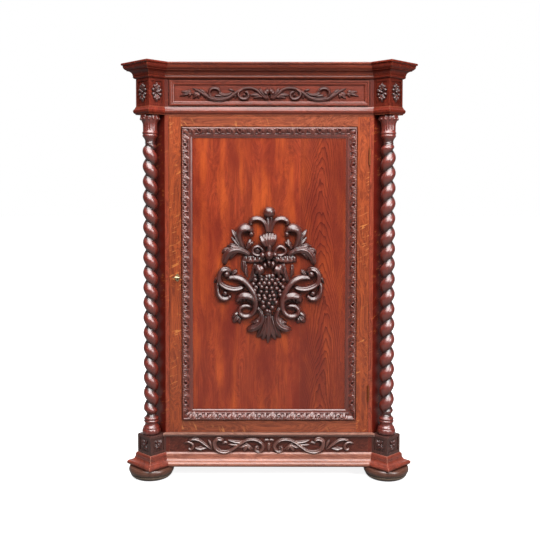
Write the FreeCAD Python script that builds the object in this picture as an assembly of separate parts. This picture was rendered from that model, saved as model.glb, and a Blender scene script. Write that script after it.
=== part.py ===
import FreeCAD, Part
import math
import os

V = FreeCAD.Vector
HALF = math.sqrt(0.5)

# Bonnetiere cabinet: one door below one drawer, canted front corners with square blocks
# set on edge, barley-twist columns between the blocks, bun feet.  Units are mm, +Z is up.
# Pieces are laid out with Y = 0 on the front plane of the carcass and +Y to the back.
# At export everything moves so that the origin is the centre of the cabinet's footprint.

# ---------------------------------------------------------------- driving dimensions
# Heights, from the floor up
foot_height = 44.0
base_board_thickness = 18.0
base_moulding_height = 49.0
plinth_field_height = 63.5
ledge_thickness = 12.3
pedestal_drop = 4.0             # pedestal top below the ledge top
door_height = 1198.0
waist_reveal = 5.0              # plain rail between door head and waist moulding
waist_moulding_height = 30.2
drawer_front_height = 101.0
cornice_lift = 1.0              # cornice soffit above the drawer opening
frieze_rail_height = 23.0
top_board_thickness = 18.0
cornice_height = 58.5

# Plan
door_width = 754.0
post_face_width = 14.3
cant_width = 57.7               # run of the canted corner along X and along Y
block_projection = 72.0         # blocks stand out from the canted face
carcass_depth = 440.0
post_side_width = 22.3          # side face of a front post behind the cant
post_thickness = 33.0
rear_post_width = 32.0
rear_post_depth = 40.0
side_rail_thickness = 22.0
side_bottom_rail_height = 134.0
side_top_rail_height = 190.0
panel_groove = 8.0
side_panel_thickness = 10.0
back_frame_thickness = 22.0
back_bottom_rail_height = 104.0
back_top_rail_height = 90.0
back_muntin_width = 70.0
back_panel_thickness = 8.0
tenon_thickness = 10.0
tenon_length = 20.0
tenon_shoulder = 6.0

# Front rails and boards
plinth_rail_thickness = 22.0
waist_rail_thickness = 28.0
frieze_rail_thickness = 28.0
ledge_projection = 9.0
dust_board_thickness = 16.0
cupboard_floor_thickness = 16.0
shelf_count = 3
shelf_thickness = 18.0
shelf_setback = 5.0             # shelf front edge behind the front posts
shelf_play = 1.0
cleat_height = 22.0
cleat_width = 20.0
door_stop_length = 42.0
door_stop_depth = 20.0
door_stop_height = 24.0

# Mouldings
cornice_projection = 40.0
waist_projection = 8.5
base_projection = 30.0

# Corner blocks
block_panel_margin = 11.0
block_panel_sink = 3.0
block_arris = 5.0

# Twist columns
column_base_height = 74.0
column_capital_height = 105.0
column_base_radius = 35.5
column_offset = 1.4              # column axis ahead of the block's centre, along X and Y
column_capital_radius = 36.6
column_ring_radius = 28.5
twist_crest_radius = 28.5
twist_valley_radius = 15.8
twist_neck_radius = 17.5
twist_turns = 18
twist_fade = 0.35               # turns over which the rope rises from the neck
twist_right_start = 150.0       # degrees by which the right rope starts behind the left one
column_dowel_radius = 12.0
column_dowel_length = 14.0

# Bun feet
foot_radius = 86.0
foot_sole_radius = 54.0
foot_dowel_radius = 14.0
rear_foot_inset = 4.0

# Door
door_thickness = 24.0
door_gap = 1.0
door_stile_width = 45.0
door_top_rail_height = 37.0
door_bottom_rail_height = 45.0
door_panel_thickness = 10.0
door_panel_sink = 8.0
panel_joints = (-112.0, 118.0)  # glue lines of the three boards, from the centre
frame_quirk = 3.3
frame_moulding_width = 39.0
frame_moulding_rise = 16.0

# Door hinges
hinge_count = 2
hinge_inset = 150.0             # hinge centres from door head and foot
hinge_length = 60.0
hinge_leaf_width = 18.0
hinge_leaf_thickness = 1.5
knuckle_radius = 3.5
hinge_pin_radius = 1.6
pin_play = 0.05
knuckle_play = 0.4
hinge_screw_radius = 1.5
hinge_screw_length = 11.0
hinge_screw_head_radius = 2.6
hinge_screw_spacing = 22.0

# Door lock and key
key_height = 764.0
key_backset = 30.0
lock_case_width = 43.0
lock_case_height = 70.0
lock_case_depth = 12.0
lock_case_inset = 1.0           # from the door's edge
lock_case_wall = 1.5
lock_bolt_height = 8.0
lock_bolt_thickness = 5.0
lock_bolt_length = 34.0
bolt_throw = 10.0
bolt_play = 0.3
bolt_notch_depth = 3.0
strike_thickness = 1.2
strike_margin = 9.0
key_shank_radius = 2.2
key_hole_play = 0.3
key_bit_reach = 11.0
key_bit_thickness = 2.4
key_bow_width = 32.0
key_bow_depth = 24.0
key_bow_wire = 2.3
key_stand_off = 14.0
keyhole_slot_width = 3.4
escutcheon_width = 16.0
escutcheon_height = 28.0
escutcheon_thickness = 1.6

# Drawer
drawer_gap = 1.0
drawer_front_thickness = 20.0
drawer_front_setback = 3.0
drawer_moulding_inset = 4.0
drawer_moulding_width = 17.0
drawer_moulding_rise = 9.0
drawer_side_play = 2.0
drawer_side_thickness = 10.0
drawer_side_height = 80.0
drawer_back_gap = 25.0          # between the drawer and the back frame
drawer_back_thickness = 9.0
drawer_bottom_thickness = 6.0
drawer_bottom_lift = 8.0
drawer_groove = 5.0
drawer_run_play = 0.4
guide_height = 20.0
guide_play = 1.0
kicker_play = 3.0
drawer_key_height = 45.5        # keyhole above the drawer front's lower edge
drawer_lock_width = 56.0
drawer_lock_height = 48.0
drawer_lock_depth = 12.0
drawer_lock_below_key = 14.0
drawer_bolt_width = 12.0
drawer_bolt_thickness = 5.0
drawer_bolt_throw = 8.0

# Applied carving
carving_thickness = 6.0
medallion_boss_width = 92.0
medallion_boss_height = 150.0
medallion_boss_rise = 20.0
medallion_centre = 767.0        # height of the medallion's centre
plinth_scroll_radius = 23.0
drawer_scroll_radius = 21.0
scroll_band = 9.0
plinth_scroll_margin = 33.0      # scrolls end short of the posts
drawer_scroll_margin = 58.0

# ---------------------------------------------------------------- derived places
opening_half = door_width / 2 + door_gap
front_half = opening_half + post_face_width
body_half = front_half + cant_width
front_vertex = (front_half + block_projection * HALF, -block_projection * HALF)
outer_vertex = (body_half + block_projection * HALF, cant_width - block_projection * HALF)
cant_front = (front_half, 0.0)
cant_rear = (body_half, cant_width)
column_axis = ((front_vertex[0] + outer_vertex[0] + front_half + body_half) / 4 + column_offset,
               (front_vertex[1] + outer_vertex[1] + cant_width) / 4 - column_offset)

base_board_z = foot_height
frame_foot_z = base_board_z + base_board_thickness
base_moulding_top = base_board_z + base_moulding_height
ledge_z = base_moulding_top + plinth_field_height
ledge_top = ledge_z + ledge_thickness
pedestal_top = ledge_top - pedestal_drop
door_z = ledge_top + door_gap
door_top = door_z + door_height
waist_rail_z = door_top + door_gap
waist_moulding_z = waist_rail_z + waist_reveal
waist_top = waist_moulding_z + waist_moulding_height
drawer_z = waist_top + drawer_gap
drawer_top = drawer_z + drawer_front_height
frieze_rail_z = drawer_top + drawer_gap
frame_head_z = frieze_rail_z + frieze_rail_height
cornice_z = frieze_rail_z + cornice_lift
top_z = cornice_z + cornice_height

post_back = cant_width + post_side_width
rear_post_y = carcass_depth - rear_post_depth
inner_half = body_half - side_rail_thickness
back_frame_y = carcass_depth - back_frame_thickness
dust_board_z = waist_top - dust_board_thickness
cupboard_floor_z = ledge_top - cupboard_floor_thickness
footprint_front = front_vertex[1] - cornice_projection / HALF
origin_shift = -(footprint_front + carcass_depth) / 2

door_half = door_width / 2
panel_face = door_panel_sink
key_x = -door_half + key_backset
lock_case_x = -door_half + lock_case_inset
lock_bolt_y = door_thickness + lock_case_wall + bolt_play
hinge_axis = (door_half + door_gap / 2, -knuckle_radius - knuckle_play)
drawer_face = drawer_front_setback
drawer_back_face = drawer_face + drawer_front_thickness
drawer_side_outer = opening_half - drawer_side_play
drawer_side_inner = drawer_side_outer - drawer_side_thickness
drawer_end = back_frame_y - drawer_back_gap
drawer_side_z = waist_top + drawer_run_play


# ---------------------------------------------------------------- shape helpers
def box(x0, x1, y0, y1, z0, z1):
    return Part.makeBox(x1 - x0, y1 - y0, z1 - z0, V(x0, y0, z0))


def prism(points, z0, z1):
    """Upright prism on a plan polygon."""
    ring = [V(x, y, z0) for x, y in points]
    return Part.Face(Part.makePolygon(ring + ring[:1])).extrude(V(0, 0, z1 - z0))


def front_prism(points, y_back, y_front):
    """Prism with its outline in the X-Z plane, standing out from y_back to y_front."""
    ring = [V(x, y_back, z) for x, z in points]
    return Part.Face(Part.makePolygon(ring + ring[:1])).extrude(V(0, y_front - y_back, 0))


def bar_y(x, z, radius, y0, y1):
    """Round bar along Y."""
    return Part.makeCylinder(radius, y1 - y0, V(x, y0, z), V(0, 1, 0))


def mirror_x(shape):
    return shape.mirror(V(0, 0, 0), V(1, 0, 0))


def cut_all(shape, tools):
    """Cut away each tool that reaches the shape."""
    for tool in tools:
        if shape.BoundBox.intersect(tool.BoundBox):
            shape = shape.cut(tool)
    return shape


def bulge(start, end, rise):
    """Middle and end of an arc that stands off its chord by rise, to the left of its run."""
    run = (end[0] - start[0], end[1] - start[1])
    size = math.hypot(*run)
    middle = ((start[0] + end[0]) / 2 - run[1] / size * rise,
              (start[1] + end[1]) / 2 + run[0] / size * rise)
    return (middle, end)


def closed_wire(steps, place):
    """Closed outline; a step is a point, or the (middle, end) pair of an arc."""
    edges = []
    here = steps[0]
    for step in steps[1:] + steps[:1]:
        if isinstance(step[0], tuple):
            middle, there = step
            edges.append(Part.Arc(place(here), place(middle), place(there)).toShape())
        else:
            there = step
            edges.append(Part.LineSegment(place(here), place(there)).toShape())
        here = there
    return Part.Wire(edges)


def turned(steps, x, y, z):
    """Solid of revolution from a closed (radius, height) outline."""
    wire = closed_wire(steps, lambda p: V(x + p[0], y, z + p[1]))
    return Part.Face(wire).revolve(V(x, y, z), V(0, 0, 1), 360)


def unit(a, b):
    length = math.dist(a, b)
    return ((b[0] - a[0]) / length, (b[1] - a[1]) / length)


def mitred_path(points, profile, place, side=1):
    """One straight length of moulding per leg of a path, mitred where legs meet.

    The profile is (distance out, rise).  Out is to the right of the path for side 1.
    place maps (u, v, rise) to space.
    """
    legs = [unit(a, b) for a, b in zip(points, points[1:])]
    outs = [(side * u[1], -side * u[0]) for u in legs]
    closed = points[0] == points[-1]
    befores = [outs[-1] if closed else outs[0]] + outs
    afters = outs + [outs[0] if closed else outs[-1]]
    mitres = []
    for a, b in zip(befores, afters):
        spread = 1 + a[0] * b[0] + a[1] * b[1]
        mitres.append(((a[0] + b[0]) / spread, (a[1] + b[1]) / spread))
    flat = [step[0] if isinstance(step[0], tuple) else step for step in profile]
    flat = flat + [step[1] for step in profile if isinstance(step[0], tuple)]
    reach = 1.5 * max(p[0] for p in flat)
    low = min(p[1] for p in flat) - 1
    high = max(p[1] for p in flat) + 1
    lengths = []
    for i, (along, out) in enumerate(zip(legs, outs)):
        start, end = points[i], points[i + 1]
        first = (start[0] - along[0] * reach, start[1] - along[1] * reach)
        wire = closed_wire(profile, lambda p: place(first[0] + out[0] * p[0],
                                                    first[1] + out[1] * p[0], p[1]))
        run = math.dist(start, end) + 2 * reach
        travel = place(along[0] * run, along[1] * run, 0) - place(0, 0, 0)
        stick = Part.Face(wire).extrude(travel)
        corners = [start, end,
                   (end[0] + mitres[i + 1][0] * reach, end[1] + mitres[i + 1][1] * reach),
                   (start[0] + mitres[i][0] * reach, start[1] + mitres[i][1] * reach)]
        ring = [place(u, v, low) for u, v in corners]
        lift = place(0, 0, high) - place(0, 0, low)
        room = Part.Face(Part.makePolygon(ring + ring[:1])).extrude(lift)
        lengths.append(stick.common(room).Solids[0])
    return lengths


def upright(z):
    """Place for a moulding that runs round the plan, with its rise above z."""
    return lambda u, v, rise: V(u, v, z + rise)


def on_front(face_y):
    """Place for a moulding on a face that looks to the front, with its rise towards -Y."""
    return lambda u, v, rise: V(u, face_y - rise, v)


def export(name, solids):
    """Write the closed solids of one piece, moved to the cabinet's origin."""
    for solid in solids:
        if not solid.isValid() or solid.Volume <= 0:
            raise ValueError("bad solid in " + name)
    shape = solids[0] if len(solids) == 1 else Part.makeCompound(solids)
    moved = shape.copy()
    moved.translate(V(0, origin_shift, 0))
    moved.exportStep("parts/" + name + ".step")


def solids_of(*shapes):
    return [solid for shape in shapes for solid in shape.Solids]


def tenoned_rail(x_half, y0, y1, z0, z1):
    """Front or back rail between two posts, with a stub tenon at each end."""
    mid = (y0 + y1) / 2
    tenon = box(-x_half - tenon_length, x_half + tenon_length,
                mid - tenon_thickness / 2, mid + tenon_thickness / 2,
                z0 + tenon_shoulder, z1 - tenon_shoulder)
    return box(-x_half, x_half, y0, y1, z0, z1).fuse(tenon).removeSplitter()


def tenoned_side_rail(z0, z1):
    """Right side rail between front and rear posts, with stub tenons."""
    mid = body_half - side_rail_thickness / 2
    tenon = box(mid - tenon_thickness / 2, mid + tenon_thickness / 2,
                post_back - tenon_length, rear_post_y + tenon_length,
                z0 + tenon_shoulder, z1 - tenon_shoulder)
    rail = box(inner_half, body_half, post_back, rear_post_y, z0, z1)
    return rail.fuse(tenon).removeSplitter()


# ---------------------------------------------------------------- carcass members
def front_post():
    """Right front post: a narrow front face, the canted face and a short side face."""
    inner = front_half - post_thickness / HALF
    return prism([(opening_half, 0), cant_front, cant_rear, (body_half, post_back),
                  (inner + post_back, post_back), (opening_half, opening_half - inner)],
                 frame_foot_z, frame_head_z)


def rear_post():
    return box(body_half - rear_post_width, body_half, rear_post_y, carcass_depth,
               frame_foot_z, frame_head_z)


def outline_plan():
    """Plan of the cabinet with its corner blocks, without mouldings."""
    right = [cant_front, front_vertex, outer_vertex, cant_rear, (body_half, carcass_depth)]
    return right + [(-x, y) for x, y in reversed(right)]


def corner_block(z0, z1):
    """Right-hand square block glued to the canted face."""
    return prism([cant_front, front_vertex, outer_vertex, cant_rear], z0, z1)


def sunk_panels(z0, z1):
    """Cutters for the sunk panels on the three free faces of the right-hand block."""
    corners = [cant_front, front_vertex, outer_vertex, cant_rear]
    cutters = []
    for a, b in zip(corners, corners[1:]):
        along = unit(a, b)
        out = (along[1], -along[0])
        p = (a[0] + along[0] * block_panel_margin, a[1] + along[1] * block_panel_margin)
        q = (b[0] - along[0] * block_panel_margin, b[1] - along[1] * block_panel_margin)
        plan = [(p[0] - out[0] * block_panel_sink, p[1] - out[1] * block_panel_sink),
                (q[0] - out[0] * block_panel_sink, q[1] - out[1] * block_panel_sink),
                (q[0] + out[0], q[1] + out[1]), (p[0] + out[0], p[1] + out[1])]
        cutters.append(prism(plan, z0 + block_panel_margin, z1 - block_panel_margin))
    return cutters


def softened(block, z_top):
    """Round the free arrises on top of a pedestal."""
    edges = []
    for edge in block.Edges:
        a, b = edge.Vertexes[0].Point, edge.Vertexes[-1].Point
        level = abs(a.z - z_top) < 0.01 and abs(b.z - z_top) < 0.01
        on_cant = all(abs(p.x - p.y - front_half) < 0.01 for p in (a, b))
        if level and not on_cant:
            edges.append(edge)
    return block.makeFillet(block_arris, edges)


# ---------------------------------------------------------------- turned pieces
def twist_half(start, end, height, lead):
    """Half of the rope's skin, between two angles measured from the crest."""
    rows = twist_turns * 10
    columns = 8
    grid = []
    for i in range(rows + 1):
        z = height * i / rows
        ease = min(1.0, z / (twist_fade * lead), (height - z) / (twist_fade * lead))
        ease = ease * ease * (3 - 2 * ease)
        valley = twist_neck_radius + (twist_valley_radius - twist_neck_radius) * ease
        swell = (twist_crest_radius - twist_valley_radius) * ease
        row = []
        for j in range(columns + 1):
            angle = start + (end - start) * j / columns
            radius = valley + swell * math.cos(angle / 2)
            turn = angle - 2 * math.pi * z / lead
            row.append(V(radius * math.cos(turn), radius * math.sin(turn), z))
        grid.append(row)
    skin = Part.BSplineSurface()
    skin.interpolate(grid)
    return skin.toShape()


def twist(height):
    """Solid single-strand barley twist between two round necks."""
    lead = height / twist_turns
    skins = [twist_half(-math.pi, 0, height, lead), twist_half(0, math.pi, height, lead)]
    caps = []
    for z in (0, height):
        rims = []
        for skin in skins:
            flat = [e for e in skin.Edges if abs(e.BoundBox.ZMin - z) < 0.01
                    and abs(e.BoundBox.ZMax - z) < 0.01]
            rims.append(flat[0])
        caps.append(Part.Face(Part.Wire(rims)))
    shell = Part.makeCompound(skins + caps)
    shell.sewShape(0.0001)
    solid = Part.Solid(shell.Shells[0])
    if solid.Volume < 0:
        solid.reverse()
    return solid


def twist_column():
    """Left column: a turned base and capital with their dowels, and the left-hand twist between."""
    x, y = -column_axis[0], column_axis[1]
    ring = column_ring_radius
    dowel, peg = column_dowel_radius, column_dowel_length
    base_foot = (column_base_radius - 6, 0)
    base = [(0, -peg), (dowel, -peg), (dowel, 0), base_foot,
            bulge(base_foot, (column_base_radius - 4, 21), -3.8),
            (ring + 2, 24), (ring + 0.5, 29), bulge((ring + 0.5, 29), (ring - 3, 44), 2.5),
            (ring - 2, 45), bulge((ring - 2, 45), (ring - 2, 54), -2.2), (ring - 2.5, 55),
            bulge((ring - 2.5, 55), (ring - 3, 64), -2.5),
            bulge((ring - 3, 64), (twist_neck_radius + 2.5, column_base_height), 2),
            (0, column_base_height)]
    brim = (column_capital_radius - 3, 0)
    lip = (column_capital_radius - 1.5, -16)
    bell = (ring - 2, -36)
    neck = (twist_neck_radius + 1, -column_capital_height)
    capital = [(0, peg), (dowel, peg), (dowel, 0), brim, bulge(brim, lip, 1.8),
               bulge(lip, bell, -2), (ring - 2, -60), (ring - 1.5, -63),
               bulge((ring - 1.5, -63), (ring - 1.5, -72.5), 2.2), (ring - 2, -73.5),
               bulge((ring - 2, -73.5), (ring - 2.5, -83), 2.2), (ring - 3.5, -85),
               bulge((ring - 3.5, -85), neck, -2.5), (0, -column_capital_height)]
    twist_z = pedestal_top + column_base_height
    shaft = twist(waist_moulding_z - column_capital_height - twist_z)
    shaft.translate(V(x, y, twist_z))
    return [turned(base, x, y, pedestal_top), shaft, turned(capital, x, y, waist_moulding_z)]


def mirrored_column(column):
    """Right column: the left one mirrored, with its twist started further round."""
    pieces = [mirror_x(solid) for solid in column]
    pieces[1].rotate(V(column_axis[0], column_axis[1], 0), V(0, 0, 1), twist_right_start)
    return pieces


def bun_foot(x, y):
    """Squat turned foot with a groove round its middle and a dowel in its head."""
    edge = foot_radius
    steps = [(0, 0), (foot_sole_radius, 0),
             bulge((foot_sole_radius, 0), (edge - 6, 18), -5),
             (edge - 8, 20), (edge - 4, 22.5),
             bulge((edge - 4, 22.5), (edge - 5, foot_height), -4),
             (foot_dowel_radius, foot_height),
             (foot_dowel_radius, foot_height + base_board_thickness - 3),
             (0, foot_height + base_board_thickness - 3)]
    return turned(steps, x, y, 0)


# ---------------------------------------------------------------- moulding profiles
def cornice_profile():
    p, h = cornice_projection, cornice_height
    return [(0, 0), (3, 0), bulge((3, 0), (7, 12), -3), (9, 12), (9, 14),
            bulge((9, 14), (23, 29), 3.5), (25, 29), (25, 31.5),
            bulge((25, 31.5), (p - 5, h - 13), -2.5), (p - 5, h - 10), (p, h - 7),
            (p, h - 3), bulge((p, h - 3), (p - 3, h), -0.9), (0, h)]


def waist_profile():
    p, h = waist_projection, waist_moulding_height
    return [(0, 0), (1.5, 0), (1.5, 3), bulge((1.5, 3), (p - 0.5, 13), -2),
            bulge((p - 0.5, 13), (p - 1, 17.5), -0.8), bulge((p - 1, 17.5), (0.8, h), 0.8), (0, h)]


def base_profile():
    p, h = base_projection, base_moulding_height
    return [(0, 0), (p - 5, 0), bulge((p - 5, 0), (p - 4, 16), -4.5), (p - 5, 17),
            bulge((p - 5, 17), (p - 22, h - 18), 5), (p - 23.5, h - 18), (p - 23.5, h - 11),
            bulge((p - 23.5, h - 11), (0.5, h), -1.5), (0, h)]


def door_moulding_profile():
    w, r = frame_moulding_width, frame_moulding_rise
    return [(0, 0), (0, r - 4), bulge((0, r - 4), (7, r - 3), 3.2), (8, r - 4.5),
            bulge((8, r - 4.5), (w - 17, 6), -2.2), bulge((w - 17, 6), (w - 12.5, 5.5), 1.6),
            bulge((w - 12.5, 5.5), (w - 1, 2), 1.2), (w, 2), (w, 0)]


def drawer_moulding_profile():
    w, r = drawer_moulding_width, drawer_moulding_rise
    return [(0, 0), (0, r), (5, r), bulge((5, r), (7.5, r - 3), -0.8), (w - 6, r - 3),
            bulge((w - 6, r - 3), (w, 1.5), 1.2), (w, 0)]


# ---------------------------------------------------------------- applied carving
def scroll_run(radius, reach, z, y_back):
    """A central shell with a running scroll to each side, as open rings on a stem."""
    thick = carving_thickness
    shell = bar_y(0, z, radius, y_back - thick, y_back)
    pieces = []
    count = int((reach - radius) // (2.2 * radius))
    pitch = (reach - radius) / count
    for i in range(count):
        x = radius + pitch * (i + 0.5)
        ring = bar_y(x, z, radius, y_back - thick, y_back)
        pieces.append(ring.cut(bar_y(x, z, radius - scroll_band, y_back - thick - 1, y_back + 1)))
    stem = box(0, reach, y_back - thick, y_back, z - scroll_band / 2, z + scroll_band / 2)
    half = pieces[0].multiFuse(pieces[1:] + [stem])
    for i in range(count):
        x = radius + pitch * (i + 0.5)
        half = half.cut(bar_y(x, z, radius - scroll_band - 0.5, y_back - thick - 1, y_back + 1))
    return shell, half


# half outline of the medallion, from its crown to its tail, as (x, height over its centre)
medallion_half = [(0, 262), (20, 252), (62, 243), (78, 214), (112, 206), (146, 174), (150, 130),
                  (182, 92), (194, 34), (178, -2), (212, -26), (192, -78), (158, -96),
                  (132, -60), (112, -122), (144, -172), (104, -168), (92, -202), (56, -224),
                  (0, -262)]
# piercings to the right of its middle, as (x, height over its centre, radius)
medallion_piercings = [(130, 22, 26), (104, -118, 12), (74, 130, 20)]


def medallion():
    """Pierced cartouche with a raised heart of fruit, planted on the door panel."""
    points = medallion_half + [(-x, z) for x, z in reversed(medallion_half[1:-1])]
    plate = front_prism([(x, medallion_centre + z) for x, z in points],
                        panel_face, panel_face - carving_thickness)
    for side in (-1, 1):
        for x, z, radius in medallion_piercings:
            hole = bar_y(side * x, medallion_centre + z, radius,
                         panel_face - carving_thickness - 1, panel_face + 1)
            plate = plate.cut(hole)
    boss = Part.makeSphere(1, V(0, 0, 0), V(0, 0, 1))
    stretch = FreeCAD.Matrix()
    stretch.scale(V(medallion_boss_width / 2, medallion_boss_rise, medallion_boss_height / 2))
    boss = boss.transformGeometry(stretch)
    boss.translate(V(0, panel_face, medallion_centre))
    room = box(-door_half, door_half, panel_face - 2 * medallion_boss_rise, panel_face, door_z, door_top)
    return plate.fuse(boss.common(room))


# ---------------------------------------------------------------- door furniture
def keyhole(x, z, y0, y1):
    """Cutter for a keyhole: a round eye with a slot below it."""
    eye = bar_y(x, z, key_shank_radius + key_hole_play, y0, y1)
    half = keyhole_slot_width / 2
    slot = box(x - half, x + half, y0, y1, z - key_bit_reach - key_hole_play, z)
    return eye.fuse(slot)


def hinge_centres():
    low, high = door_z + hinge_inset, door_top - hinge_inset
    return [low + (high - low) * i / (hinge_count - 1) for i in range(hinge_count)]


def knuckle(z0, z1, bore):
    x, y = hinge_axis
    barrel = Part.makeCylinder(knuckle_radius, z1 - z0, V(x, y, z0))
    return barrel.cut(Part.makeCylinder(bore, z1 - z0, V(x, y, z0)))


def hinge(z):
    """Door leaf, frame leaf, pin and screws of one butt hinge centred at height z."""
    x, y = hinge_axis
    low, high = z - hinge_length / 2, z + hinge_length / 2
    third = hinge_length / 3
    gap = pin_play * 4
    pin = Part.makeCylinder(hinge_pin_radius, hinge_length, V(x, y, low))
    clear = hinge_pin_radius + pin_play
    door_in, door_out = door_half - hinge_leaf_thickness, door_half
    post_in, post_out = opening_half, opening_half + hinge_leaf_thickness
    spans = {"door": [(low + third + gap, high - third - gap)],
             "frame": [(low, low + third), (high - third, high)]}
    leaves = {}
    for name, x0, x1, bore in (("door", door_in, door_out, clear),
                               ("frame", post_in, post_out, hinge_pin_radius)):
        leaf = box(x0, x1, 0, hinge_leaf_width, low, high)
        for z0, z1 in spans[name]:
            tongue = box(x0, x1, y, 0, z0, z1)
            tongue = tongue.cut(Part.makeCylinder(bore, hinge_length, V(x, y, low)))
            leaf = leaf.multiFuse([tongue, knuckle(z0, z1, bore)])
        leaves[name] = leaf
    screws = {"door": [], "frame": []}
    rows = int(hinge_length // hinge_screw_spacing)
    for i in range(rows):
        height = z + (i - (rows - 1) / 2) * hinge_screw_spacing
        for name, head_x, way in (("door", door_out, -1), ("frame", post_in, 1)):
            place = V(head_x, hinge_leaf_width * 0.55, height)
            head = Part.makeCone(hinge_screw_head_radius, hinge_screw_radius,
                                 hinge_leaf_thickness, place, V(way, 0, 0))
            shank = Part.makeCylinder(hinge_screw_radius, hinge_screw_length, place, V(way, 0, 0))
            screws[name].append(head.fuse(shank).removeSplitter())
    return cut_all(leaves["door"], screws["door"]), cut_all(leaves["frame"], screws["frame"]), \
        pin, screws["door"], screws["frame"]


def lock_bolt():
    """Door bolt, drawn back flush with its case, with a notch for the key's bit."""
    z0 = key_height + key_bit_reach - bolt_notch_depth / 2
    bar = box(lock_case_x, lock_case_x + lock_bolt_length, lock_bolt_y, lock_bolt_y + lock_bolt_thickness,
              z0, z0 + lock_bolt_height)
    notch = box(key_x - 2, key_x + key_bit_reach + 2, lock_bolt_y, lock_bolt_y + lock_bolt_thickness,
                z0, z0 + bolt_notch_depth)
    return bar.cut(notch)


def door_key():
    """Key with its oval bow level, its shank in the lock and its bit to the right."""
    shank_end = door_thickness + lock_case_depth - lock_case_wall - key_hole_play
    shank = bar_y(key_x, key_height, key_shank_radius, -key_stand_off, shank_end)
    collar = bar_y(key_x, key_height, key_shank_radius + 1.6, -key_stand_off + 1, -key_stand_off + 4)
    bit = box(key_x, key_x + key_bit_reach, lock_bolt_y, lock_bolt_y + lock_bolt_thickness,
              key_height - key_bit_thickness / 2, key_height + key_bit_thickness / 2)
    rim = Part.makeTorus(1, key_bow_wire / (key_bow_width / 2 - key_bow_wire), V(0, 0, 0))
    stretch = FreeCAD.Matrix()
    stretch.scale(V(key_bow_width / 2 - key_bow_wire, key_bow_depth / 2 - key_bow_wire,
                    key_bow_width / 2 - key_bow_wire))
    rim = rim.transformGeometry(stretch)
    rim.translate(V(key_x, -key_stand_off - key_bow_depth / 2 + key_bow_wire, key_height))
    return shank.multiFuse([collar, bit, rim]).Solids[0]


def lock_case():
    """Hollow lock case planted on the back of the lock stile."""
    x0, x1 = lock_case_x, lock_case_x + lock_case_width
    y0, y1 = door_thickness, door_thickness + lock_case_depth
    z0 = key_height - lock_case_height / 2
    wall = lock_case_wall
    case = box(x0, x1, y0, y1, z0, z0 + lock_case_height)
    hollow = box(x0 + wall, x1 - wall, y0 + wall, y1 - wall, z0 + wall, z0 + lock_case_height - wall)
    return case.cut(hollow).cut(keyhole(key_x, key_height, y0 - 1, y0 + wall + 1))


def grown(shape, play):
    """Box round a shape with play on every side."""
    b = shape.BoundBox
    return box(b.XMin - play, b.XMax + play, b.YMin - play, b.YMax + play, b.ZMin - play, b.ZMax + play)


# ---------------------------------------------------------------- build and export
os.makedirs("parts", exist_ok=True)

plinth_rail = tenoned_rail(opening_half, 0, plinth_rail_thickness, frame_foot_z, ledge_z)
waist_rail = tenoned_rail(opening_half, 0, waist_rail_thickness, waist_rail_z, waist_top)
frieze_rail = tenoned_rail(opening_half, 0, frieze_rail_thickness, frieze_rail_z, frame_head_z)
back_half = body_half - rear_post_width
back_bottom = tenoned_rail(back_half, back_frame_y, carcass_depth,
                           frame_foot_z, frame_foot_z + back_bottom_rail_height)
back_top = tenoned_rail(back_half, back_frame_y, carcass_depth,
                        frame_head_z - back_top_rail_height, frame_head_z)
side_bottom = tenoned_side_rail(frame_foot_z, frame_foot_z + side_bottom_rail_height)
side_top = tenoned_side_rail(frame_head_z - side_top_rail_height, frame_head_z)

# door lock, key and hinges come first, because stile and post are cut for them
bolt = lock_bolt()
bolt_room = grown(bolt, bolt_play)
strike_y = (bolt.BoundBox.YMin + bolt.BoundBox.YMax) / 2
strike_z = (bolt.BoundBox.ZMin + bolt.BoundBox.ZMax) / 2
mortise = box(-opening_half - bolt_throw, -opening_half,
              bolt.BoundBox.YMin - bolt_play, bolt.BoundBox.YMax + bolt_play,
              bolt.BoundBox.ZMin - bolt_play, bolt.BoundBox.ZMax + bolt_play)
strike_half = lock_bolt_thickness / 2 + strike_margin / 3
strike = box(-opening_half - strike_thickness, -opening_half,
             strike_y - strike_half, strike_y + strike_half,
             strike_z - lock_bolt_height / 2 - strike_margin,
             strike_z + lock_bolt_height / 2 + strike_margin)
hinges = [hinge(z) for z in hinge_centres()]
frame_leaves = [h[1] for h in hinges]
frame_screws = [screw for h in hinges for screw in h[4]]

right_post = cut_all(front_post(), [plinth_rail, waist_rail, frieze_rail, side_bottom, side_top])
left_post = mirror_x(right_post)
leaf_seats = [box(opening_half, opening_half + hinge_leaf_thickness, 0, hinge_leaf_width,
                  z - hinge_length / 2, z + hinge_length / 2) for z in hinge_centres()]
right_post = cut_all(right_post, leaf_seats + frame_screws)
left_post = cut_all(left_post, [mortise, strike])
back_post = cut_all(rear_post(), [back_bottom, back_top, side_bottom, side_top])

panel_mid = body_half - side_rail_thickness / 2
side_panel = box(panel_mid - side_panel_thickness / 2, panel_mid + side_panel_thickness / 2,
                 post_back - panel_groove, rear_post_y + panel_groove,
                 frame_foot_z + side_bottom_rail_height - panel_groove,
                 frame_head_z - side_top_rail_height + panel_groove)
right_post = right_post.cut(side_panel)
left_post = left_post.cut(mirror_x(side_panel))
back_post = back_post.cut(side_panel)
side_bottom = side_bottom.cut(side_panel)
side_top = side_top.cut(side_panel)

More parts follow.
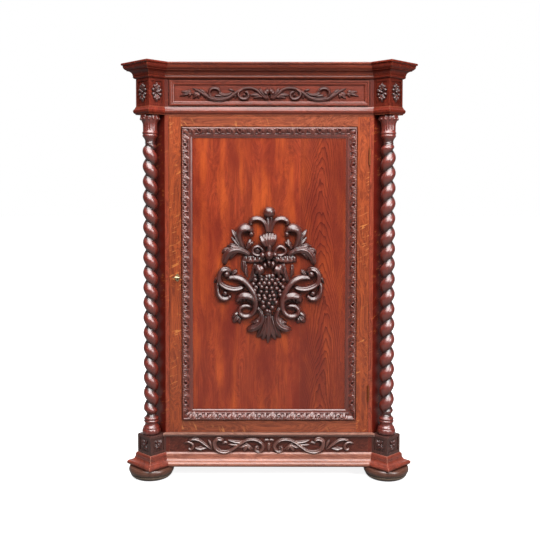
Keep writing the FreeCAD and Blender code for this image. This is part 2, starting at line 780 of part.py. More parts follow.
muntin = box(-back_muntin_width / 2, back_muntin_width / 2, back_frame_y, carcass_depth,
             frame_foot_z + back_bottom_rail_height, frame_head_z - back_top_rail_height)
back_mid = back_frame_y + back_frame_thickness / 2
back_panel = box(back_muntin_width / 2 - panel_groove, back_half + panel_groove,
                 back_mid - back_panel_thickness / 2, back_mid + back_panel_thickness / 2,
                 frame_foot_z + back_bottom_rail_height - panel_groove,
                 frame_head_z - back_top_rail_height + panel_groove)
back_panels = [back_panel, mirror_x(back_panel)]
back_post = back_post.cut(back_panel)
back_bottom = cut_all(back_bottom, back_panels)
back_top = cut_all(back_top, back_panels)
muntin = cut_all(muntin, back_panels)

front_feet = [bun_foot(side * column_axis[0], column_axis[1]) for side in (-1, 1)]
rear_foot_x = body_half + base_projection - foot_radius - rear_foot_inset
rear_foot_y = carcass_depth - foot_radius
rear_feet = [bun_foot(side * rear_foot_x, rear_foot_y) for side in (-1, 1)]
base_board = cut_all(prism(outline_plan(), base_board_z, frame_foot_z), front_feet + rear_feet)
top_board = prism(outline_plan(), frame_head_z, frame_head_z + top_board_thickness)

ledge_ends = ledge_projection
ledge = prism([(front_half, 0), (front_half + ledge_ends, -ledge_projection),
               (-front_half - ledge_ends, -ledge_projection), (-front_half, 0)], ledge_z, ledge_top)
ledge_back = box(-opening_half, opening_half, 0, plinth_rail_thickness, ledge_z, ledge_top)


def inner_board(y_front, z0, z1):
    """Board that fills the carcass in plan from y_front to the back frame."""
    post_inside = front_half - post_thickness / HALF
    board = box(-inner_half, inner_half, y_front, back_frame_y, z0, z1)
    corner = prism([(opening_half, -1), (body_half, -1), (body_half, post_back),
                    (post_inside + post_back, post_back), (opening_half, opening_half - post_inside)], z0, z1)
    heel = box(body_half - rear_post_width, body_half, rear_post_y, carcass_depth, z0, z1)
    return cut_all(board, [corner, mirror_x(corner), heel, mirror_x(heel)])


cupboard_floor = inner_board(plinth_rail_thickness, cupboard_floor_z, ledge_top)
dust_board = inner_board(waist_rail_thickness, dust_board_z, waist_top)
clear_height = dust_board_z - ledge_top
shelf_pitch = (clear_height - shelf_count * shelf_thickness) / (shelf_count + 1) + shelf_thickness
shelves = []
cleats = []
for i in range(shelf_count):
    z = ledge_top + shelf_pitch * (i + 1) - shelf_thickness
    shelves.append(box(-inner_half + shelf_play, inner_half - shelf_play, post_back + shelf_setback,
                       rear_post_y - shelf_play, z, z + shelf_thickness))
    cleat = box(inner_half - cleat_width, inner_half, post_back, rear_post_y, z - cleat_height, z)
    cleats += [cleat, mirror_x(cleat)]
door_stop = box(-opening_half, -opening_half + door_stop_length, door_thickness + knuckle_play,
                door_thickness + knuckle_play + door_stop_depth,
                waist_rail_z - door_stop_height, waist_rail_z)

guide_in = drawer_side_outer + guide_play
guide = box(guide_in, inner_half, post_back, rear_post_y, waist_top, waist_top + guide_height)
kicker_z = drawer_side_z + drawer_side_height + kicker_play
kicker = box(drawer_side_inner, inner_half, post_back, rear_post_y, kicker_z, frieze_rail_z)
guides = [guide, mirror_x(guide), kicker, mirror_x(kicker)]

left_column = twist_column()
right_column = mirrored_column(left_column)
frieze_block = corner_block(waist_moulding_z, frame_head_z)
frieze_block = cut_all(frieze_block, sunk_panels(waist_top, cornice_z) + right_column)
pedestal = softened(corner_block(frame_foot_z, pedestal_top), pedestal_top)
pedestal = cut_all(pedestal, sunk_panels(base_moulding_top, pedestal_top) + right_column)

block_path = [cant_front, front_vertex, outer_vertex, cant_rear, (body_half, carcass_depth)]


def band(profile, z):
    """Front length and the right-hand lengths of a moulding that breaks round the block."""
    mirrored = [(-x, y) for x, y in reversed(block_path)]
    whole = mitred_path(mirrored + block_path, profile, upright(z))
    return whole[len(mirrored) - 1], whole[len(mirrored):]


for name, profile, z in (("cornice", cornice_profile(), cornice_z),
                         ("waist_moulding", waist_profile(), waist_moulding_z),
                         ("base_moulding", base_profile(), base_board_z)):
    front_length, right_lengths = band(profile, z)
    left_lengths = [mirror_x(length) for length in right_lengths]
    export(name + "_front", [front_length])
    if name == "waist_moulding":
        export(name + "_sides", right_lengths + left_lengths)
    else:
        export(name + "_right", right_lengths)
        export(name + "_left", left_lengths)

# door
lock_stile = box(-door_half, -door_half + door_stile_width, 0, door_thickness, door_z, door_top)
hinge_stile = box(door_half - door_stile_width, door_half, 0, door_thickness, door_z, door_top)
stile_inner = door_half - door_stile_width
top_rail = tenoned_rail(stile_inner, 0, door_thickness, door_top - door_top_rail_height, door_top)
bottom_rail = tenoned_rail(stile_inner, 0, door_thickness, door_z, door_z + door_bottom_rail_height)
field = (stile_inner, door_z + door_bottom_rail_height, door_top - door_top_rail_height)
glue_lines = [-stile_inner - panel_groove] + list(panel_joints) + [stile_inner + panel_groove]
panel_boards = [box(a, b, panel_face, panel_face + door_panel_thickness,
                    field[1] - panel_groove, field[2] + panel_groove)
                for a, b in zip(glue_lines, glue_lines[1:])]
top_rail = cut_all(top_rail, panel_boards)
bottom_rail = cut_all(bottom_rail, panel_boards)
case = lock_case()
case = case.cut(bolt_room)
lock_stile = cut_all(lock_stile, panel_boards + [top_rail, bottom_rail,
                                                 keyhole(key_x, key_height, -1, door_thickness + 1)])
door_leaf_seats = [box(door_half - hinge_leaf_thickness, door_half, 0, hinge_leaf_width,
                       z - hinge_length / 2, z + hinge_length / 2) for z in hinge_centres()]
door_screws = [screw for h in hinges for screw in h[3]]
hinge_stile = cut_all(hinge_stile, panel_boards + [top_rail, bottom_rail] + door_leaf_seats + door_screws)

frame_line = [(-stile_inner + frame_quirk, field[1] + frame_quirk),
              (-stile_inner + frame_quirk, field[2] - frame_quirk),
              (stile_inner - frame_quirk, field[2] - frame_quirk),
              (stile_inner - frame_quirk, field[1] + frame_quirk)]
door_mouldings = mitred_path(frame_line + frame_line[:1], door_moulding_profile(), on_front(panel_face))

escutcheon = Part.makeCylinder(1, escutcheon_thickness, V(0, 0, 0), V(0, 1, 0))
oval = FreeCAD.Matrix()
oval.scale(V(escutcheon_width / 2, 1, escutcheon_height / 2))
escutcheon = escutcheon.transformGeometry(oval)
escutcheon.translate(V(key_x, -escutcheon_thickness, key_height - 3))
escutcheon = escutcheon.cut(keyhole(key_x, key_height, -escutcheon_thickness - 1, 1))

# drawer
drawer_half = opening_half - drawer_gap
key_z = drawer_z + drawer_key_height
drawer_front = box(-drawer_half, drawer_half, drawer_face, drawer_back_face, drawer_z, drawer_top)
bottom_z = drawer_side_z + drawer_bottom_lift
drawer_bottom = box(-drawer_side_inner - drawer_groove, drawer_side_inner + drawer_groove,
                    drawer_back_face - drawer_groove, drawer_end,
                    bottom_z, bottom_z + drawer_bottom_thickness)
drawer_side = box(drawer_side_inner, drawer_side_outer, drawer_back_face, drawer_end,
                  drawer_side_z, drawer_side_z + drawer_side_height).cut(drawer_bottom)
drawer_back = box(-drawer_side_inner, drawer_side_inner, drawer_end - drawer_back_thickness, drawer_end,
                  bottom_z + drawer_bottom_thickness, drawer_side_z + drawer_side_height)
lock_y = drawer_back_face - drawer_lock_depth
lock_z = key_z - drawer_lock_below_key
lock_mid = drawer_back_face - drawer_lock_depth / 2
drawer_bolt = box(-drawer_bolt_width / 2, drawer_bolt_width / 2,
                  lock_mid - drawer_bolt_thickness / 2, lock_mid + drawer_bolt_thickness / 2,
                  key_z + key_bit_reach, drawer_top)
drawer_bolt_way = grown(drawer_bolt, bolt_play)
drawer_case_box = box(-drawer_lock_width / 2, drawer_lock_width / 2, lock_y, drawer_back_face,
                      lock_z, lock_z + drawer_lock_height)
hollow = box(-drawer_lock_width / 2 + lock_case_wall, drawer_lock_width / 2 - lock_case_wall,
             lock_y + lock_case_wall, drawer_back_face - lock_case_wall,
             lock_z + lock_case_wall, lock_z + drawer_lock_height - lock_case_wall)
drawer_case = cut_all(drawer_case_box, [hollow, drawer_bolt_way,
                                        keyhole(0, key_z, lock_y - 1, lock_y + lock_case_wall + 1)])
drawer_front = cut_all(drawer_front, [drawer_bottom, drawer_case_box, drawer_bolt_way,
                                      keyhole(0, key_z, 0, drawer_back_face)])
frame_in = drawer_half - drawer_moulding_inset
drawer_line = [(-frame_in, drawer_z + drawer_moulding_inset), (-frame_in, drawer_top - drawer_moulding_inset),
               (frame_in, drawer_top - drawer_moulding_inset), (frame_in, drawer_z + drawer_moulding_inset)]
drawer_mouldings = mitred_path(drawer_line + drawer_line[:1], drawer_moulding_profile(),
                               on_front(drawer_face))
frieze_rail = frieze_rail.cut(box(-drawer_bolt_width / 2 - bolt_play, drawer_bolt_width / 2 + bolt_play,
                                  drawer_bolt_way.BoundBox.YMin, drawer_bolt_way.BoundBox.YMax,
                                  frieze_rail_z, drawer_top + drawer_bolt_throw + bolt_play))

drawer_shell, drawer_scroll = scroll_run(drawer_scroll_radius, opening_half - drawer_scroll_margin,
                                        key_z, drawer_face)
drawer_carving = drawer_shell.multiFuse([drawer_scroll, mirror_x(drawer_scroll)])
drawer_carving = drawer_carving.cut(keyhole(0, key_z, drawer_face - carving_thickness - 1, drawer_face + 1))
plinth_mid = (base_moulding_top + ledge_z) / 2
plinth_shell, plinth_scroll = scroll_run(plinth_scroll_radius, opening_half - plinth_scroll_margin, plinth_mid, 0)
plinth_carving = plinth_shell.multiFuse([plinth_scroll, mirror_x(plinth_scroll)])

# carcass
export("front_post_left", [left_post])
export("front_post_right", [right_post])
export("rear_posts", [back_post, mirror_x(back_post)])
export("side_rails", solids_of(side_bottom, side_top, mirror_x(side_bottom), mirror_x(side_top)))
export("side_panels", [side_panel, mirror_x(side_panel)])
export("back_frame", solids_of(back_bottom, back_top, muntin))
export("back_panels", back_panels)
export("base_board", [base_board])
export("plinth_rail", [plinth_rail])
export("plinth_ledge", [ledge.fuse(ledge_back).removeSplitter()])
export("plinth_carving", solids_of(plinth_carving))
export("pedestal_right", [pedestal])
export("pedestal_left", [mirror_x(pedestal)])
export("frieze_block_right", [frieze_block])
export("frieze_block_left", [mirror_x(frieze_block)])
export("twist_column_left", left_column)
export("twist_column_right", right_column)
export("front_foot_left", [front_feet[0]])
export("front_foot_right", [front_feet[1]])
export("rear_feet", rear_feet)
export("cupboard_floor", [cupboard_floor])
export("waist_rail", [waist_rail])
export("dust_board", [dust_board])
export("drawer_guides", guides)
export("frieze_rail", [frieze_rail])
export("top_board", [top_board])
export("shelves", shelves)
export("shelf_cleats", cleats)
export("door_stop", [door_stop])
export("frame_hinge_leaves", frame_leaves)
export("frame_hinge_screws", frame_screws)
export("hinge_pins", [h[2] for h in hinges])
export("strike_plate", [strike.cut(mortise)])

# door, its lock and key
export("door_lock_stile", [lock_stile])
export("door_hinge_stile", [hinge_stile])
export("door_rails", [top_rail, bottom_rail])
export("door_panel", panel_boards)
export("door_mouldings", door_mouldings)
export("door_medallion", solids_of(medallion()))
export("door_escutcheon", [escutcheon])
export("door_lock_case", [case])
export("door_hinge_leaves", [h[0] for h in hinges])
export("door_hinge_screws", door_screws)
export("door_key", [door_key()])
export("door_lock_bolt", [bolt])

# drawer and its lock
export("drawer_front", [drawer_front])
export("drawer_box", [drawer_side, mirror_x(drawer_side), drawer_back, drawer_bottom])
export("drawer_mouldings", drawer_mouldings)
export("drawer_carving", solids_of(drawer_carving))
export("drawer_lock_case", [drawer_case])
export("drawer_lock_bolt", [drawer_bolt])
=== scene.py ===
import random
from functools import partial
from math import atan2, cos, dist, hypot, pi, radians, sin, sqrt

import bmesh
import bpy
from mathutils import Matrix, Vector


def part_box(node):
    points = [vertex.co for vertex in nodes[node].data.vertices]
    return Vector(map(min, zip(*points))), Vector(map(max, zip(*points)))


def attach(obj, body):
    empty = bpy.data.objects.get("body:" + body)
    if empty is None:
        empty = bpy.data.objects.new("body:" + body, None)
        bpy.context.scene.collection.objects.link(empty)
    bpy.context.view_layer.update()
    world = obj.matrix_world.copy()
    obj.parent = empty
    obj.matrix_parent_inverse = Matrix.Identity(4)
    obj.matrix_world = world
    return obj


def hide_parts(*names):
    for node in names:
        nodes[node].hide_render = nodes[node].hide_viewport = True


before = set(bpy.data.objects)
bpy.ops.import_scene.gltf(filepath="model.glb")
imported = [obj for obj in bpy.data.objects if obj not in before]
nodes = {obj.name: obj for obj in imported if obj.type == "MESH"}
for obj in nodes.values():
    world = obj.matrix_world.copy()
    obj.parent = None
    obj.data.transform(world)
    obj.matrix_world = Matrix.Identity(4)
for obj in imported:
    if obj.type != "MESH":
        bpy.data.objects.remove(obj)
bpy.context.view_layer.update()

MM = 0.001
front_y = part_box("front_post_left")[0].y          # the plane of the carcass front
panel_y = front_y + 8 * MM                        # face of the door panel
drawer_y = front_y + 3 * MM                       # face of the drawer front
column_x, column_y = 448.0 * MM, front_y + 2.0 * MM
medallion_z = 0.767                               # middle of the medallion
column_foot, column_top = 164.8, 1373.8           # heights in mm, as are the next two
frieze_block = (1404, 1508)
pedestal_block = (93, column_foot)


# ---- colours
def tone(code):
    """A colour written as six hex digits, as the shader takes it."""
    parts = [int(code[i:i + 2], 16) / 255 for i in (0, 2, 4)]
    return [p / 12.92 if p <= 0.04045 else ((p + 0.055) / 1.055) ** 2.4 for p in parts] + [1.0]


# ---- node helpers
def feed(tree, node, feeds):
    """Set or link a node's inputs; feeds are values or sockets by input name or number."""
    for key, value in feeds.items():
        if isinstance(value, bpy.types.NodeSocket):
            tree.links.new(value, node.inputs[key])
        else:
            node.inputs[key].default_value = value


def put(tree, kind, feeds=None, **settings):
    made = tree.nodes.new("ShaderNode" + kind)
    for key, value in settings.items():
        setattr(made, key, value)
    feed(tree, made, feeds or {})
    return made


def reckon(tree, operation, a, b=0.0, clamp=False):
    """One sum on two numbers or sockets."""
    return put(tree, "Math", {0: a, 1: b}, operation=operation, use_clamp=clamp).outputs[0]


def plus(tree, a, b, clamp=False):
    return reckon(tree, "ADD", a, b, clamp)


def less(tree, a, b):
    return reckon(tree, "SUBTRACT", a, b)


def times(tree, a, b):
    return reckon(tree, "MULTIPLY", a, b)


def triple(tree, x=0.0, y=0.0, z=0.0):
    """Three numbers as one place or colour."""
    return put(tree, "CombineXYZ", {0: x, 1: y, 2: z}).outputs[0]


def mixed(tree, share, a, b, way="MIX"):
    """Colour a with a share of colour b laid over it."""
    return put(tree, "Mix", {0: share, 6: a, 7: b}, data_type="RGBA", blend_type=way).outputs[2]


def remap(tree, value, low, high, to_low=0.0, to_high=1.0):
    """The range from low to high brought to another range, and held at its ends."""
    feeds = {"Value": value, "From Min": low, "From Max": high, "To Min": to_low, "To Max": to_high}
    return put(tree, "MapRange", feeds).outputs[0]


def shifted(tree, place, by):
    return put(tree, "VectorMath", {0: place, 1: by}, operation="ADD").outputs[0]


def stretched(tree, place, x, y, z):
    return put(tree, "VectorMath", {0: place, 1: (x, y, z)}, operation="MULTIPLY").outputs[0]


def clouds(tree, place, scale=1.0, detail=3.0, rough=0.55, **more):
    """Soft noise from 0 to 1."""
    feeds = {"Vector": place, "Scale": scale, "Detail": detail, "Roughness": rough}
    feeds.update(more)
    return put(tree, "TexNoise", feeds).outputs[0]


def open_material(name):
    """A new material, its tree and its shader."""
    made = bpy.data.materials.new(name)
    made.use_nodes = True
    return made, made.node_tree, made.node_tree.nodes["Principled BSDF"]


def open_group(name, inputs, outputs):
    """A node group with number (f) and vector (v) sockets, its given sockets and its end node."""
    group = bpy.data.node_groups.new(name, "ShaderNodeTree")
    kinds = {"f": "NodeSocketFloat", "v": "NodeSocketVector"}
    for way, sockets in (("INPUT", inputs), ("OUTPUT", outputs)):
        for label, kind in sockets:
            group.interface.new_socket(name=label, in_out=way, socket_type=kinds[kind])
    return group, group.nodes.new("NodeGroupInput").outputs, group.nodes.new("NodeGroupOutput")


# ---- shared effects
def oak_grain_group():
    """Grain that runs along Z: rings, fibre streaks, open pores and silky flecks."""
    group, given, end = open_group(
        "oak grain", [("Place", "v"), ("Seed", "f")],
        [("Tone", "f"), ("Pores", "f"), ("Flecks", "f"), ("Drift", "f")])
    shift = triple(group, given["Seed"], given["Seed"], given["Seed"])
    place = shifted(group, given["Place"], shift)
    sway = clouds(group, stretched(group, place, 6, 6, 1.6), detail=2.0)
    lean = triple(group, times(group, sway, 0.05), sway)
    bent = shifted(group, place, lean)
    rings = clouds(group, stretched(group, bent, 95, 95, 1.5), detail=2.0, rough=0.5)
    fibres = clouds(group, stretched(group, bent, 250, 250, 7), detail=4.0, rough=0.65)
    both = plus(group, times(group, rings, 0.5), times(group, fibres, 0.5))
    pores = clouds(group, stretched(group, bent, 1250, 1250, 42), detail=2.0, rough=0.6)
    turned = put(group, "Mapping", {"Vector": place, "Rotation": (0.0, radians(24), 0.0)}).outputs[0]
    flecks = clouds(group, stretched(group, turned, 26, 60, 125), detail=1.5, rough=0.4, Distortion=0.6)
    where = clouds(group, stretched(group, place, 14, 14, 5), detail=1.0)
    patchy = times(group, remap(group, flecks, 0.6, 0.68), remap(group, where, 0.46, 0.6))
    drift = clouds(group, stretched(group, place, 9, 9, 2.4))
    feed(group, end, {"Tone": remap(group, both, 0.38, 0.62), "Pores": remap(group, pores, 0.57, 0.68),
                      "Flecks": patchy, "Drift": drift})
    return group


def cathedral_group():
    """Arched figure of a flat-sawn board: Centre is the heart line, Board tells boards apart."""
    group, given, end = open_group(
        "arched figure", [("Place", "v"), ("Centre", "f"), ("Board", "f")], [("Lines", "f")])
    where = put(group, "SeparateXYZ", {0: given["Place"]}).outputs
    shift = triple(group, given["Board"], 0.0, given["Board"])
    place = shifted(group, given["Place"], shift)
    swell = clouds(group, stretched(group, place, 11, 1, 3.2), rough=0.6)
    ripple = clouds(group, stretched(group, place, 80, 1, 22), detail=2.0, rough=0.5)
    wander = clouds(group, stretched(group, place, 1, 1, 1.7), detail=1.0)
    off = less(group, where[0], given["Centre"])
    off = plus(group, off, times(group, less(group, wander, 0.5), 0.13))
    bow = times(group, reckon(group, "POWER", reckon(group, "ABSOLUTE", off), 1.6), 560)
    climb = times(group, where[2], 22.0)
    level = plus(group, plus(group, bow, climb), times(group, swell, 5.5))
    level = plus(group, level, times(group, ripple, 0.75))
    saw = reckon(group, "FRACT", level)     # each ring darkens slowly and ends at once
    feed(group, end, {"Lines": reckon(group, "POWER", saw, 3.4)})
    return group


def handling_and_shade_group():
    """Grime with painted shade that gathers in corners and hollows, bare edges, and the smears and dents of
    long use.
    """
    group, given, end = open_group(
        "wear, handling and painted shade", [("Place", "v"), ("Reach", "f"), ("Open", "f")],
        [("Grime and shade", "f"), ("Rubbed", "f"), ("Smears", "f"), ("Dents", "f")])
    # painted shade: ambient occlusion darkens corners and hollows, for shade as well as grime
    shade = put(group, "AmbientOcclusion", {"Distance": given["Reach"]}, samples=6).outputs["AO"]
    edge = put(group, "AmbientOcclusion", {"Distance": 0.0022}, samples=4, inside=True).outputs["AO"]
    patches = clouds(group, given["Place"], scale=34.0)
    broken = remap(group, patches, 0.3, 0.7, 0.55, 1.0)
    for cover, clear, deep, label in ((shade, given["Open"], 0.25, "Grime and shade"), (edge, 0.72, 0.3, "Rubbed")):
        share = remap(group, cover, clear, deep)
        feed(group, end, {label: times(group, share, broken)})
    smears = clouds(group, given["Place"], scale=9.0, detail=4.0, rough=0.6)
    dents = put(group, "TexVoronoi", {"Vector": given["Place"], "Scale": 120.0}).outputs[0]
    feed(group, end, {"Smears": smears, "Dents": remap(group, dents, 0.0, 0.25)})
    return group


grain_effect = oak_grain_group()
arch_effect = cathedral_group()
age_and_shade_effect = handling_and_shade_group()
QUARTER = radians(90)
TURNS = {"up": (0, 0, 0), "side": (0, 0, QUARTER), "across": (0, QUARTER, 0), "deep": (QUARTER, 0, 0)}


# ---- finishes
# the first colour is grime and painted shade for corners and hollows
GRIME_AND_SHADE, OPEN_PORE, WAX_AND_SHADE, RING = "160705", "2a0f0a", "240c08", "4c140c"


def board_marks(tree, across, seed, heart, boards):
    """Seed and heart line of the board that a point is on, and whether it is the last board.

    boards holds, for each glue line, where it is and how far on the next board's heart line is.
    """
    number, centre = seed, heart
    for x, shift in boards:
        past = reckon(tree, "GREATER_THAN", across, x)
        number = plus(tree, number, times(tree, past, 3.7))
        centre = plus(tree, centre, times(tree, past, shift))
    return number, centre, past


def stain_boards(tree, place, colour, number, centre, last):
    """Uneven stain over glued boards, the darker last board, and the arched figure of them all."""
    for stretch, low, high, most, tint in (((26, 26, 3.4), 0.47, 0.7, 0.8, "c05422"),
                                            ((-11, 11, 3.6), 0.44, 0.68, 0.85, "722013")):
        patches = clouds(tree, stretched(tree, place, *stretch), rough=0.6)
        colour = mixed(tree, remap(tree, patches, low, high, 0.0, most), colour, tone(tint))
    colour = mixed(tree, times(tree, last, 0.36), colour, tone("6a2818"))
    feeds = {"Place": place, "Centre": centre, "Board": number}
    arches = put(tree, "Group", feeds, node_tree=arch_effect).outputs["Lines"]
    depth = plus(tree, 0.2, times(tree, last, 0.75))
    return mixed(tree, times(tree, arches, depth), colour, tone(RING))


def darken_post(tree, where, colour, tint):
    """Darker ends of a front post beside the plinth and the drawer, and the given darker colour on its canted
    face.
    """
    middle, half = 0.77, 0.603              # the length between plinth and drawer
    off = reckon(tree, "ABSOLUTE", less(tree, where[2], middle))
    ends = reckon(tree, "GREATER_THAN", off, half)
    colour = mixed(tree, times(tree, ends, 0.8), colour, tone("561f18"))
    cant = remap(tree, where[1], front_y + 0.5 * MM, front_y + 3 * MM)
    return mixed(tree, cant, colour, tone(tint))


def shade_and_light_bands(tree, height, colour, painted_bands):
    """Bands of colour between two heights, used for painted shade in grooves and under a ledge, painted
    highlight lines and a darker band: each band has its two heights, its colour and its share.
    """
    for low, high, tint, share in painted_bands:
        above, below = remap(tree, height, low, low + MM), remap(tree, height, high, high - MM)
        inside = times(tree, above, below)
        colour = mixed(tree, times(tree, inside, share), colour, tone(tint))
    return colour


def rope_wax_and_shade(tree, where, colour):
    """Dark wax with painted shade in the hollows of a column's rope, darker nearer the column's middle."""
    crest, hollow = 24.5 * MM, 17 * MM      # distances from the column's middle
    aside = less(tree, reckon(tree, "ABSOLUTE", where[0]), column_x)
    beyond = less(tree, where[1], column_y)
    far = put(tree, "VectorMath", {0: triple(tree, aside, beyond)}, operation="LENGTH").outputs["Value"]
    # painted shade: the nearer to the column's middle, the darker the rope
    return mixed(tree, remap(tree, far, crest, hollow, 0.0, 0.92), colour, tone(WAX_AND_SHADE))


def oak(name, along, light, dark, seed=0.0, grain=1.0, fleck=0.0, silk="c8703a",
        grime_and_shade=0.8, reach=0.016, clear=0.82, rub=0.35, bare="a86a4c", dents=0.4,
        polish=0.36, coat=0.6, haze=0.2, shine=1.7,
        boards=(), heart=0.0, cant_colour=None, painted_bands=(), rope=False):
    """Stained and waxed oak.

    along is the run of the grain, light and dark its two tones, seed tells pieces of wood apart, and
    silk is the colour of the flecks.  Grime with painted shade darkens the wood within reach of a
    corner, more of it where clear is near 1, and rub is how far the edges are worn to bare.  polish is
    the roughness of the wood; coat, haze and shine are the wax.  The last line is for a few pieces
    only: the band colours paint shade and highlight lines, rope paints shade and dark wax into a
    column's hollows, and a front post gets darker ends and the given colour on its canted face.
    """
    made, tree, shader = open_material(name)
    place = put(tree, "TexCoord").outputs["Object"]
    where = put(tree, "SeparateXYZ", {0: place}).outputs
    run = put(tree, "Mapping", {"Vector": place, "Rotation": TURNS[along]}).outputs[0]
    number = seed
    if boards:
        number, centre, last = board_marks(tree, where[0], seed, heart, boards)
    marks = put(tree, "Group", {"Place": run, "Seed": number}, node_tree=grain_effect).outputs
    feeds = {"Place": place, "Reach": reach, "Open": clear}
    use_and_shade = put(tree, "Group", feeds, node_tree=age_and_shade_effect).outputs
    level = times(tree, less(tree, marks["Tone"], 0.5), grain)
    colour = mixed(tree, plus(tree, level, 0.5, True), tone(dark), tone(light))
    drift = remap(tree, marks["Drift"], 0.3, 0.7, 0.8, 1.16)
    colour = mixed(tree, 1.0, colour, triple(tree, drift, drift, drift), "MULTIPLY")
    if boards:
        colour = stain_boards(tree, place, colour, number, centre, last)
    if cant_colour:
        colour = darken_post(tree, where, colour, cant_colour)
    colour = shade_and_light_bands(tree, where[2], colour, painted_bands)
    if rope:
        colour = rope_wax_and_shade(tree, where, colour)
    # painted shade: the grime mask darkens corners and hollows where shade would fall, as well as grime
    for mark, share, over in ((marks["Flecks"], fleck, silk), (marks["Pores"], 0.6 * grain, OPEN_PORE),
                              (use_and_shade["Rubbed"], rub, bare), (use_and_shade["Grime and shade"], grime_and_shade, GRIME_AND_SHADE)):
        if share:
            colour = mixed(tree, times(tree, mark, share), colour, tone(over))
    rough = remap(tree, use_and_shade["Smears"], 0.3, 0.7, polish - 0.07, polish + 0.09)
    rough = plus(tree, rough, times(tree, use_and_shade["Grime and shade"], 0.25), True)
    height = less(tree, times(tree, marks["Tone"], 0.3), marks["Pores"])
    height = plus(tree, height, times(tree, use_and_shade["Dents"], 0.25))
    bump = put(tree, "Bump", {"Height": height, "Strength": dents, "Distance": 0.25 * MM}).outputs[0]
    feed(tree, shader, {"Base Color": colour, "Roughness": rough, "Normal": bump, "Specular IOR Level": 0.12,
                        "Coat Weight": coat, "Coat Roughness": haze, "Coat IOR": shine})
    return made


def metal(name, bright, dull, rough):
    """Old metal: bright where it is handled, dull in its hollows and its spots of tarnish."""
    made, tree, shader = open_material(name)
    place = put(tree, "TexCoord").outputs["Object"]
    use_and_shade = put(tree, "Group", {"Place": place, "Reach": 4 * MM, "Open": 0.82}, node_tree=age_and_shade_effect).outputs
    spots = remap(tree, clouds(tree, place, scale=220.0, detail=4.0, rough=0.65), 0.4, 0.7)
    share = plus(tree, times(tree, spots, 0.5), use_and_shade["Grime and shade"], True)
    colour = mixed(tree, share, tone(bright), tone(dull))
    colour = mixed(tree, times(tree, use_and_shade["Rubbed"], 0.4), colour, tone(bright))
    rough = remap(tree, share, 0.0, 1.0, rough, rough + 0.3)
    scratch = clouds(tree, stretched(tree, place, 900, 900, 120), detail=2.0)
    bump = put(tree, "Bump", {"Height": scratch, "Strength": 0.2, "Distance": 0.1 * MM}).outputs[0]
    feed(tree, shader, {"Base Color": colour, "Roughness": rough, "Normal": bump, "Metallic": 1.0})
    return made


def dress(material, *names):
    """Put one finish in every slot of the named nodes."""
    for name in names:
        slots = nodes[name].data.materials
        for i in range(len(slots)):
            slots[i] = material


dress(oak("door panel oak", "up", "a84223", "782b18", seed=1.3, grain=0.9, reach=0.022,
          boards=((-0.112, 0.162), (0.118, 0.215)), heart=-0.172), "door_panel")
dress(oak("frame oak upright", "up", "ac5029", "72301e", seed=5.1, fleck=0.8, silk="d08044"),
      "door_lock_stile", "door_hinge_stile")
dress(oak("front post oak", "up", "a5472f", "74301f", seed=5.6, fleck=0.35, cant_colour="66190f"),
      "front_post_left", "front_post_right")
dress(oak("frame oak level", "across", "a85636", "6c3222", seed=8.4, fleck=0.7, silk="c88048"),
      "door_rails", "waist_rail", "frieze_rail")
dress(oak("dark oak upright", "up", "7c2e1f", "4c1811", seed=2.2, coat=0.4),
      "rear_posts", "frieze_block_left", "frieze_block_right")
dress(oak("dark oak level", "across", "8a3a28", "5c2418", seed=4.9, grain=0.8, reach=0.03, clear=0.88),
      "drawer_front", "drawer_mouldings", "base_board", "top_board", "waist_moulding_front")
dress(oak("cornice oak", "across", "86371f", "521d12", seed=3.7, grain=0.8, reach=0.04, clear=0.9, coat=0.45),
      "cornice_front")
dress(oak("side panel oak", "side", "7c3424", "4c1c14", seed=2.7), "side_panels")
dress(oak("dark oak side lengths", "deep", "86301e", "561a11", seed=6.3, reach=0.03, clear=0.9, coat=0.35),
      "side_rails", "cornice_left", "cornice_right", "waist_moulding_sides")
# painted highlight: the front length is a paler, lit copy of the base moulding's oak; its rubbed edges are
# wear
dress(oak("lit base oak", "across", "b0705a", "844a3a", seed=6.9, grime_and_shade=0.9, reach=0.014, rub=0.5,
          bare="cca08c", coat=0.8, haze=0.34), "base_moulding_front")
# painted highlight and shadow: the ledge is a pale, lit copy of the rail oak, with a painted shadow band
# under its nose
dress(oak("lit and shaded ledge oak", "across", "c48e7c", "94604e", seed=6.1, reach=0.008, rub=0.5, bare="d8b0a0",
          coat=1.0, haze=0.3, painted_bands=((0.15, 0.1632, "3c1812", 0.85),)), "plinth_ledge")
dress(oak("base moulding side oak", "deep", "9c4430", "682a1e", seed=1.9, grime_and_shade=0.9, reach=0.012, rub=0.6,
          bare="d09078", coat=1.0, haze=0.3), "base_moulding_left", "base_moulding_right")
# the foot's bands: a darker red-brown upper part, painted shade in its groove and a painted highlight line
# below it
dress(oak("foot oak", "up", "7e6250", "4a382c", seed=2.8, grime_and_shade=0.9, rub=0.5, bare="a88878", coat=0.8,
          haze=0.3, painted_bands=((0.026, 0.05, "5c3024", 0.7), (0.019, 0.0235, "2a1812", 0.7),
                           (0.013, 0.018, "b8a48c", 0.5))),
      "front_foot_left", "front_foot_right", "rear_feet")
dress(oak("plinth oak", "across", "6c3226", "421c15", seed=3.3, rub=0.5, bare="a87868", coat=0.5),
      "plinth_rail")
dress(oak("pedestal oak", "up", "5e3a34", "3c2420", seed=7.1, rub=0.6, bare="a0503c"),
      "pedestal_left", "pedestal_right")

